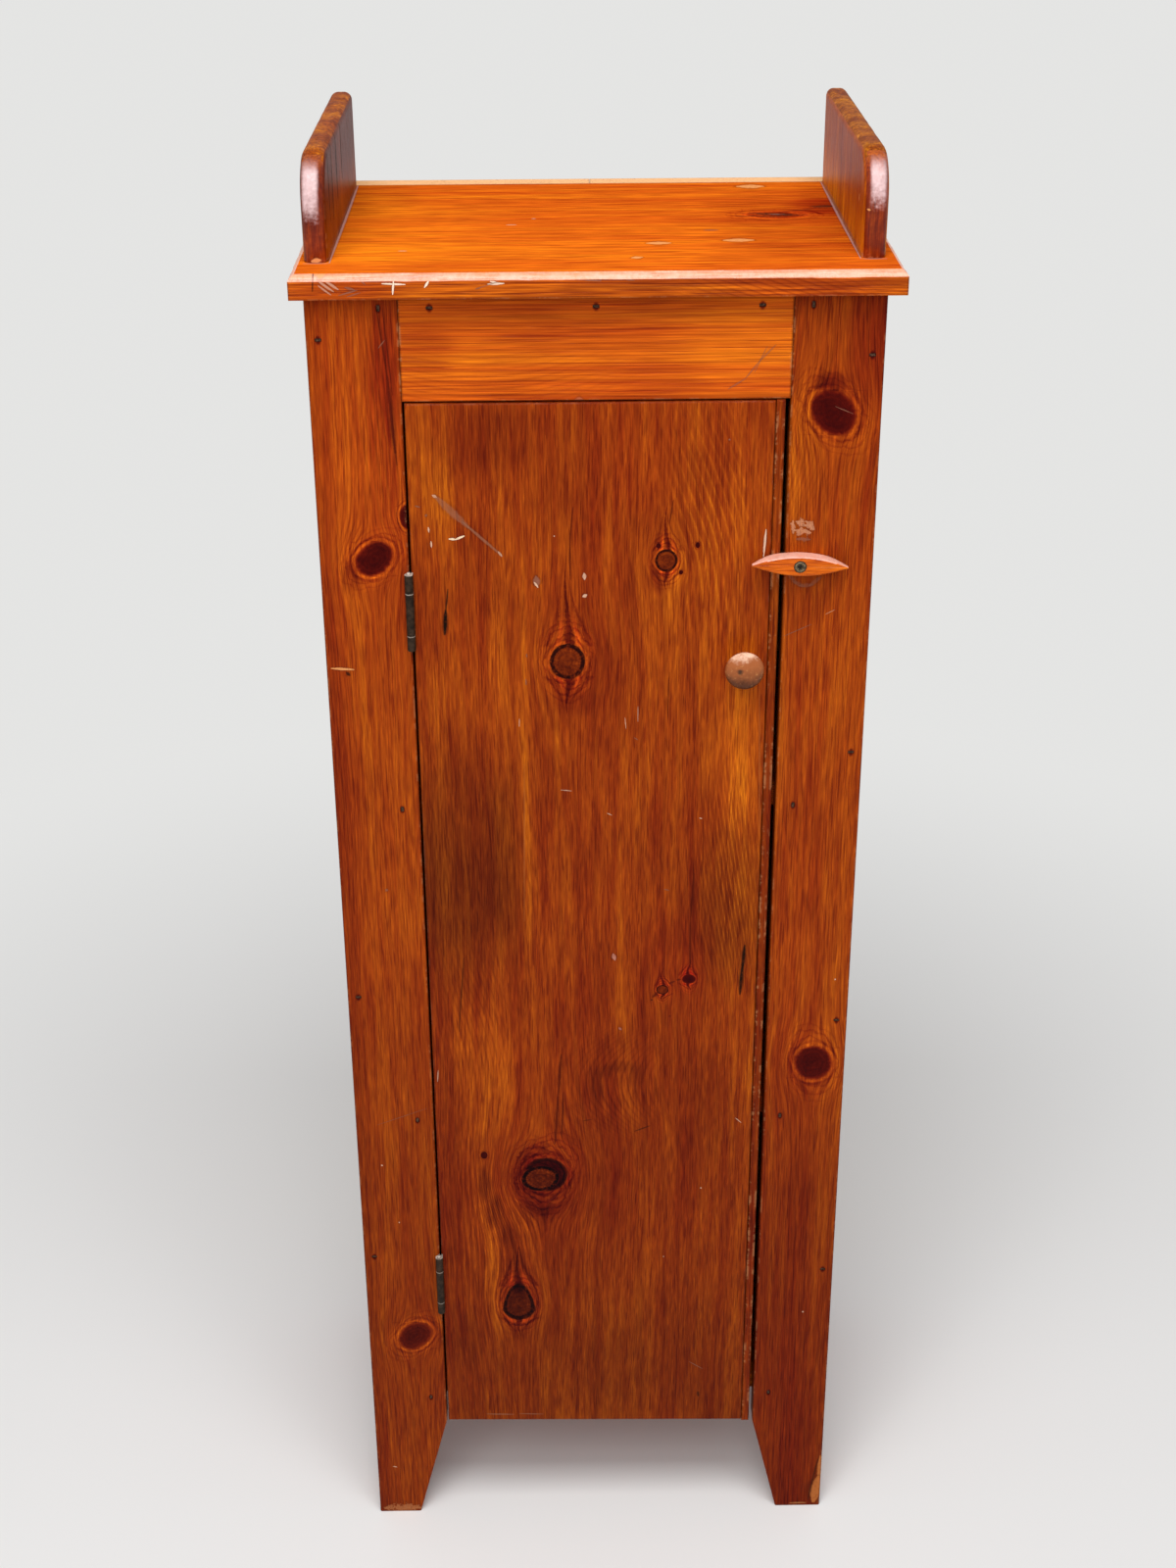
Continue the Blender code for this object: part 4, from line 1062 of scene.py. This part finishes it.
# What differs between the end boards, right and left: the tones of flank and front, how much brighter the flank's
# foot is painted as a painted reflection, how far up the front's painted highlight starts and how far off the middle
# it lies, the crest's hue, and the marks
END_LOOKS = (
    dict(
        flank=-1.40, front=-2.55, foot=0.7, shine_start=0.034, shine_off=0.0012, crest_hue=0.75,
        flank_marks=(
            (BARE_PINE, 0.9, 0.9, (-900, 12650, -900, 12600, 22)),
            (BARE_PINE, 0.7, 0.9, (-640, 12500, -640, 12480, 14)),
        ),
        front_marks=((BARE_PINE, 0.8, 0.9, (1990, 12600, 2010, 12595, 12)),),
    ),
    dict(
        flank=-2.95, front=-2.95, foot=1.0, shine_start=0.027, shine_off=-0.0018, crest_hue=0.50,
        flank_marks=(
            (BLACK, 1.0, 1.2, (-850, 12960, -860, 12480, 26), (-560, 12990, -590, 12430, 26),
             (-180, 13000, -200, 12500, 26), (250, 13000, 240, 12560, 26)),
        ),
        front_marks=(),
    ),
)


def end_materials(name, side, box):
    """An end board's flanks, front and crest. The front has a painted highlight on its rounded top, the crest is rough
    end grain.
    """
    looks = END_LOOKS[side]
    low, high = box
    flank = Wood(f"{name}_side_pine", "z", box, looks["flank"], 30.0 + side, fine=0.9, streaks=0.5, rings=0.4)
    # Painted reflection: the flank's foot is painted brighter and more golden, as if it mirrored the orange top below
    # it
    flank.tint(0.0, low.z, 0.3, 0.034, looks["foot"], 0.35)
    flank.hue = flank.hue + 0.25
    flank.stain(marks=looks["flank_marks"])
    # Painted highlight: a pale pinkish line along the flank's foot
    inner_edge = low.z + 0.002
    flank.mark(low.y + 0.002, inner_edge, high.y, inner_edge, 0.0011, FOOT_SEAM, 0.6)
    flank.wear(0.75, 0.0060, (0.50, 0.20, 0.09, 1), grime=0.2)
    front = Wood(f"{name}_front_pine", "z", box, looks["front"], 32.0 + side, fine=0.8, streaks=0.6, rings=0.2)
    up, ragged, patchy = front.l, front.ragged, front.patchy
    front.stops = front.stops + patchy * 2.4 + ragged * 0.8 + up.rise(high.z - 0.018, high.z - 0.003)
    front.hue = front.hue + up.rise(high.z - 0.018, high.z - 0.003, 0.45) - 0.15
    front.stain()
    # Painted highlight: a pale pinkish band down the middle of the front, over its rounded upper part, speckled where
    # it ends
    start = low.z + looks["shine_start"]
    middle = (low.x + high.x) / 2 + looks["shine_off"]
    shine = (up + ragged * 0.016 + patchy * 0.012).rise(start, start + 0.018)
    shine = shine * (up + patchy * 0.008).fall(high.z - 0.016, high.z - 0.004)
    shine = shine * abs(front.axes[0] - middle + patchy * 0.003).fall(0.0038, 0.0072) * (0.92 + ragged * 0.8)
    front.paint = front.shader.mix(shine * 0.85, front.paint, (0.76, 0.54, 0.54, 1))
    front.place = front.shader.join(front.axes[0], up, 0.0)
    if side:
        front.mark(-0.2120, low.z + 0.001, -0.2055, low.z + 0.002, 0.0022, BARE_PINE, 0.9)
    front.draw(looks["front_marks"])
    front.wear(0.3, 0.0040, (0.50, 0.16, 0.07, 1), grime=0.0)
    crest = Wood(f"{name}_crest_pine", "z", box, -1.75, 34.0 + side, rings=0.2)
    crest.stops = crest.stops + crest.patchy * 3.4 + crest.ragged * 3.2
    crest.hue = crest.hue + looks["crest_hue"] + crest.patchy * 1.0
    crest.stain()
    crest.wear(0.8, 0.0050, (0.62, 0.34, 0.18, 1), grime=0.0)
    return [flank.finish(0.02, 0.34), front.finish(0.22, 0.26, 0.0001), crest.finish(0.04, 0.5, 0.0007)]


def make_end_board(name, side):
    """An end board with worn round edges."""
    low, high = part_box(name)
    rings = []
    for place, inward in rounding_stations(high.x - low.x, END_ROUNDING):
        ring = []
        for y, z in end_outline(low, high, inward):
            point = Vector((low.x + place, y, z))
            if inward < END_ROUNDING and z > low.z + 0.0005:
                rough = CREST_WEAR if y > low.y + FRONT_DEPTH else FRONT_WEAR
                lift = max(0.0, bumpy(point, 55, side + 3) + 0.6 * bumpy(point, 190, side + 5)) * rough
                toward = Vector((point.x, min(y + 0.03, high.y - 0.03), low.z + 0.03))
                point += (toward - point).normalized() * lift
            ring.append(point)
        rings.append(ring)
    points, faces = rings_surface(rings)

    def choose(_, normal):
        if abs(normal.x) > 0.75:
            return 0
        return 1 if normal.y < -0.35 and normal.z < 0.92 else 2

    new_piece(
        f"{name}_worn", name, "cabinet", "dark_stained_pine", points, faces, end_materials(name, side, (low, high)),
        choose, sharp=50,
    )


def make_turn_button():
    """The lens-shaped turn button, tilted on its screw and thinned from the back towards its tips."""
    low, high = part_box("turn_button")
    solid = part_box("turn_button_screw")
    middle = centre("turn_button_screw")
    cos, sin = math.cos(BUTTON_TURN), math.sin(BUTTON_TURN)
    half_length, half_height = (high.x - low.x) / 2 / cos - 0.0001, BUTTON_HEIGHT / 2
    rise = half_height - BUTTON_TIP / 2
    radius = (half_length ** 2 + rise ** 2) / (2 * rise)
    sweep = math.asin(half_length / radius)
    rings = []
    for place, inward in rounding_stations(high.y - low.y, BUTTON_ROUNDING, 3):
        ring = []
        for sign in (1, -1):
            for step in range(33):
                angle = sweep - 2 * sweep * step / 32
                across = radius * math.sin(angle) * (1 - inward / half_length) * sign
                up = max(radius * math.cos(angle) - radius + half_height - inward, 0.0004) * sign
                x, z = middle.x + across * cos - up * sin, middle.z + across * sin + up * cos
                thin = max(0.0, abs(across) / half_length - TIP_START) / (1 - TIP_START)
                point = Vector((x, low.y + place * (1.0 - TIP_THINNING * thin ** 1.5), z))
                point.y += 0.0003 * bumpy(point, 120, 9) if place < 0.003 else 0.0
                ring.append(point)
        rings.append(ring)
    head = (solid[1].x - solid[0].x) / 2 + 0.0002
    outline = rings[0]
    for place in (low.y + 0.0001, low.y + 0.0030):
        bore = []
        for point in outline:
            away = Vector((point.x - middle.x, 0.0, point.z - middle.z)).normalized() * head
            bore.append(Vector((middle.x + away.x, place, middle.z + away.z)))
        rings.insert(0, bore)
    points, faces = rings_surface(rings)

    def choose(place, normal):
        return 1 if normal.z > 0.55 and math.hypot(place.x - middle.x, place.z - middle.z) > head + 0.0005 else 0

    face = Wood("turn_button_pine", "x", (low, high), -0.80, 17.0, fine=0.8)
    face.stain()
    face.wear(0.3, 0.0016, (0.80, 0.40, 0.24, 1), grime=0.0)
    edge = Wood("turn_button_edge_pine", "x", (low, high), -0.50, 18.0, fine=0.7, streaks=0.6, broad=0.5, rings=0.1)
    edge.stain()
    # Painted highlight: the button's upper edge is painted pale and pinkish
    pale = (edge.patchy * 0.9 + edge.ragged * 0.5 + 0.82).clamped()
    edge.paint = edge.shader.mix(pale, edge.paint, (0.80, 0.46, 0.37, 1))
    new_piece(
        "turn_button_worn", "turn_button", "turn_button", "stained_pine", points, faces,
        [face.finish(0.10), edge.finish(0.5, 0.36)], choose,
    )


def copper_material(middle, size):
    """Aged copper, with a painted highlight towards its top, painted shade towards its bottom and a dark pit near its
    middle.
    """
    shader = Shader("aged_copper")
    spot = shader.place()
    patch = shader.noise(spot, (110, 110, 110), 4.0, 0.65)
    fleck = shader.noise(spot, (420, 420, 420), 3.0, 0.6)
    x, _, z = spot.apart()
    rubbed = (z - middle.z + patch * 0.016 + fleck * 0.008) / size
    # Painted light and shade: dark low on the knob, paler up to its middle and pale at its top, as if lit from above
    colour = shader.mix(rubbed.rise(-1.0, 0.4), (0.085, 0.022, 0.006, 1), (0.36, 0.105, 0.032, 1))
    colour = shader.mix(rubbed.rise(0.50, 1.05), colour, (0.84, 0.54, 0.38, 1))
    colour = shader.mix(fleck.rise(0.10, 0.22) * 0.5, colour, (0.62, 0.30, 0.10, 1))
    dx, dz = x - middle.x + 0.004, z - middle.z - 0.002
    pit = ((dx * dx + dz * dz).root() / 0.0034 + patch * 1.6).fall(0.2, 1.0)
    colour = shader.mix(pit * 0.85, colour, (0.030, 0.018, 0.012, 1))
    return shader.finish(colour, patch * 0.2 + 0.30, patch + fleck * 0.4, 0.0003, Specular_IOR_Level=0.16)


def make_knob():
    """The mushroom knob: a low hammered dome, a thin rolled rim and a hollow neck."""
    low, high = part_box("knob")
    middle = (low + high) / 2
    face, foot, size = low.y, high.y, (high.x - low.x) / 2
    waist, rim = face + KNOB_WAIST, face + KNOB_RIM[-1][1]
    profile = [(size * math.sin(a), face + KNOB_DOME * (1 - math.cos(a))) for a in quarter(14, 1)]
    profile += [(size - inward, face + depth) for inward, depth in KNOB_RIM]
    for a in quarter(8, 1):
        profile.append((KNOB_UNDER - (KNOB_UNDER - KNOB_NECK) * math.sin(a), waist - (waist - rim) * math.cos(a)))
    for a in quarter(6, 1):
        profile.append((KNOB_FOOT - (KNOB_FOOT - KNOB_NECK) * math.cos(a), waist + KNOB_FLARE * math.sin(a)))
    profile += [(KNOB_FOOT, foot - 0.0008), (KNOB_FOOT, foot)]
    rings = []
    for radius, y in profile:
        ring = []
        for step in range(KNOB_STEPS):
            angle = 2 * math.pi * step / KNOB_STEPS
            point = Vector((middle.x + radius * math.cos(angle), y, middle.z + radius * math.sin(angle)))
            if y < face + KNOB_DOME:
                point.y += 0.00035 * max(0.0, bumpy(point, 210, 4) + 0.4)
            ring.append(point)
        rings.append(ring)
    points, faces = rings_surface(rings)
    # The dome ends in one point, not in a flat
    tip = len(points)
    points.append(Vector((middle.x, face + 0.0002, middle.z)))
    faces.remove(tuple(range(KNOB_STEPS)))
    faces += [(step, (step + 1) % KNOB_STEPS, tip) for step in range(KNOB_STEPS)]
    copper = copper_material(middle, size)
    new_piece("knob_hammered", "knob", "door", "knob_copper", points, faces, [copper], sharp=60)


# Hollows in the door's face: place, half width and half height, depth
HOLLOWS = (
    ((-0.1217, 0.9440), 0.0016, 0.0100, 0.0016),
    ((0.1229, 0.6320), 0.0016, 0.0110, 0.0016),
    ((0.1213, 0.6100), 0.0018, 0.0140, 0.0018),
    ((-0.0487, 0.9782), 0.0032, 0.0058, 0.0007),
    ((-0.0116, 0.9825), 0.0022, 0.0034, 0.0005),
    ((-0.0112, 0.9662), 0.0024, 0.0020, 0.0005),
    ((-0.1127, 1.0145), 0.0020, 0.0016, 0.0004),
    ((-0.1130, 1.0370), 0.0050, 0.0050, 0.0003),
    ((0.0463, 1.0074), 0.0018, 0.0018, 0.0006),
    ((0.0768, 1.0075), 0.0016, 0.0022, 0.0008),
)
# Knots that stand a little proud inside a groove: place, radius, how tall
PROUD_KNOTS = (((0.0525, 0.9951), 0.0080, 1.08), ((-0.0255, 0.9101), 0.0126, 1.08), ((-0.0545, 0.4015), 0.0158, 0.80))


def plank_relief(x, z):
    """How far the door's face stands back, or with a minus sign proud, at a place."""
    back = 0.00012 * noise.noise(Vector((x * 30, z * 6, 0.0))) + 0.00005 * noise.noise(Vector((x * 160, z * 12, 3.0)))
    for (hx, hz), wide, tall, depth in HOLLOWS:
        reach = ((x - hx) / wide) ** 2 + ((z - hz) / tall) ** 2
        if reach < 9:
            back += depth * math.exp(-reach)
    for (kx, kz), radius, tall in PROUD_KNOTS:
        reach = math.hypot(x - kx, (z - kz) / tall) / radius
        if reach < 2.5:
            back += 0.0003 * math.exp(-((reach - 1.0) / 0.12) ** 2) - 0.0002 * math.exp(-(reach / 0.8) ** 4)
            back -= 0.0002 * math.exp(-((reach - 1.3) / 0.25) ** 2)
    return back


def refined(start, end, step, near_start, near_end, spots, fine, reach):
    """Even ticks between two places, with finer ones round each spot and at the ends."""
    ticks = set(spaced(start, end, step, near_start, near_end))
    count = round(reach / fine)
    for spot in spots:
        around = [spot + fine * number for number in range(-count, count + 1)]
        ticks.update(tick for tick in around if start + 0.002 < tick < end - 0.002)
    kept = []
    for tick in sorted(ticks):
        if not kept or tick - kept[-1] > fine * 0.45 or tick in (start, end):
            kept.append(tick)
    return kept


def make_plank():
    """The door's plank: eased edges, a face that is not quite flat, dents, slits, and mortises for the hinges."""
    low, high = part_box("door_plank")
    steps = (0.0003, 0.0008, PLANK_ROUNDING, 0.0022)
    spots = [place for place, *_ in HOLLOWS + PROUD_KNOTS]
    x_ticks = refined(low.x, high.x, 0.004, (0.0001, *steps), steps, [x for x, _ in spots], 0.001, 0.004)
    z_ticks = refined(low.z, high.z, 0.007, steps, steps, [z for _, z in spots], 0.0015, 0.006)
    for hinge in HINGES:
        z_ticks += [hinge.z + side * (LEAF_HALF + extra) for side in (1, -1) for extra in (0.0, 0.0002)]
    z_ticks = sorted(set(z_ticks) | set(PLANK_ROWS))
    x_ticks = sorted(set(x_ticks) | set(PLANK_COLUMNS))
    y_ticks = spaced(low.y, high.y, 0.004, (0.0003, 0.0008, PLANK_ROUNDING))
    y_ticks = sorted(set(y_ticks) | {low.y + LEAF_DEPTH, low.y + LEAF_DEPTH + 0.0002})
    points, faces = block_surface((x_ticks, y_ticks, z_ticks))
    for point in points:
        x, z = point.x, point.z
        at_left, at_front = x == low.x, point.y == low.y
        if at_left and point.y < low.y + LEAF_DEPTH + 0.0001:
            if any(abs(z - hinge.z) < LEAF_HALF + 0.0001 for hinge in HINGES):
                point.x += LEAF
                continue
        edge = min(x - low.x, high.x - x, z - low.z, high.z - z)
        depth = point.y - low.y
        if edge < PLANK_ROUNDING and depth < PLANK_ROUNDING:
            across, down = 1 - edge / PLANK_ROUNDING, 1 - depth / PLANK_ROUNDING
            size = max(math.hypot(across, down), max(across, down))
            inward = PLANK_ROUNDING * (1 - across / size * max(across, down)) - edge
            point.y = low.y + PLANK_ROUNDING * (1 - down / size * max(across, down))
            for axis, sign, distance in (
                (0, 1, x - low.x), (0, -1, high.x - x), (2, 1, z - low.z), (2, -1, high.z - z),
            ):
                if distance < PLANK_ROUNDING:
                    point[axis] += sign * inward
        if at_front:
            point.y += plank_relief(x, z) * min(1.0, max(0.0, (edge - 0.001) / 0.004)) + 0.00002
        share = (x - low.x) / (high.x - low.x)
        point.z += (1 - share) * PLANK_SLOPE * max(0.0, 1 - (z - low.z) / SLOPE_REACH)

    columns = [low.x, *PLANK_COLUMNS, high.x]
    rows = [low.z, *PLANK_ROWS, high.z]
    zones = [
        ((left, bottom), (right, top))
        for bottom, top in zip(rows, rows[1:]) for left, right in zip(columns, columns[1:])
    ]

    def choose(place, normal):
        if normal.y > 0.5:
            return len(zones)
        column = sum(place.x > x for x in PLANK_COLUMNS)
        row = sum(place.z > z for z in PLANK_ROWS)
        return row * (len(PLANK_COLUMNS) + 1) + column

    materials = [plank_material(f"door_plank_pine_{n}", (low, high), zone) for n, zone in enumerate(zones, 1)]
    materials.append(plank_material("door_plank_inner_pine", (low, high), None, marked=False))
    new_piece("door_plank_worn", "door_plank", "door", "stained_pine", points, faces, materials, choose)


make_top_board()
make_plank()
make_end_board("left_end_board", 1)
make_end_board("right_end_board", 0)
make_turn_button()
make_knob()


def make_floor():
    """A pale floor that keeps the shadow near the cupboard and evens out to plain pale further off."""
    mesh = bpy.data.meshes.new("floor")
    half = FLOOR_HALF
    mesh.from_pydata([(-half, -half, 0), (half, -half, 0), (half, half, 0), (-half, half, 0)], [], [(0, 1, 2, 3)])
    floor = placed("floor", mesh)
    shader = Shader("pale_floor")
    x, y, _ = shader.place().apart()
    distance = (x * x + y * y).root()
    matt = shader.node("BsdfDiffuse", FLOOR_COLOUR)
    plain = shader.node("Emission", PALE, 1.0)
    shader.make("OutputMaterial", shader.node("MixShader", distance.rise(*SHADOW_FADE) * shader.seen(), matt, plain))
    mesh.materials.append(shader.material)


def make_world():
    """Even pale surroundings; what lights the object is dimmer than what the camera and gloss see."""
    world = bpy.data.worlds.new("surroundings")
    bpy.context.scene.world = world
    world.use_nodes = True
    nodes = Nodes(world.node_tree)
    nodes.tree.nodes.clear()
    nodes.make("OutputWorld", nodes.node("Background", nodes.mix(nodes.seen(), DIM, PALE)))


def make_lamp(name, place, target, width, height, radiance):
    """A soft box. The power follows from its radiance and its area."""
    light = bpy.data.lights.new(name, "AREA")
    light.shape = "RECTANGLE"
    light.size, light.size_y = width, height
    light.energy = radiance * math.pi * width * height
    lamp = placed(name, light)
    lamp.location = place
    lamp.rotation_euler = (Vector(target) - Vector(place)).to_track_quat("-Z", "Y").to_euler()


def make_camera():
    """The photograph's viewpoint: a little left of the middle, looking down."""
    camera = bpy.data.cameras.new("camera")
    camera.lens, camera.sensor_width = FOCAL_LENGTH, SENSOR
    obj = placed("camera", camera)
    turn = Matrix.Rotation(-CAMERA_TURN, 3, "Z")
    tip = Matrix.Rotation(math.pi / 2 - CAMERA_DOWN, 3, "X")
    roll = Matrix.Rotation(CAMERA_ROLL, 3, "Z")
    obj.matrix_world = Matrix.Translation(CAMERA_PLACE) @ (turn @ tip @ roll).to_4x4()
    bpy.context.scene.camera = obj


make_floor()
make_world()
make_lamp("key", (0.0, -1.33, 3.54), (0, -0.15, 1.22), 2.2, 1.3, 8.0)
make_lamp("fill", (-0.5, -2.6, 2.7), (0, 0, 1.0), 2.2, 1.6, 3.4)
make_camera()
bpy.context.scene.view_settings.view_transform = "Standard"
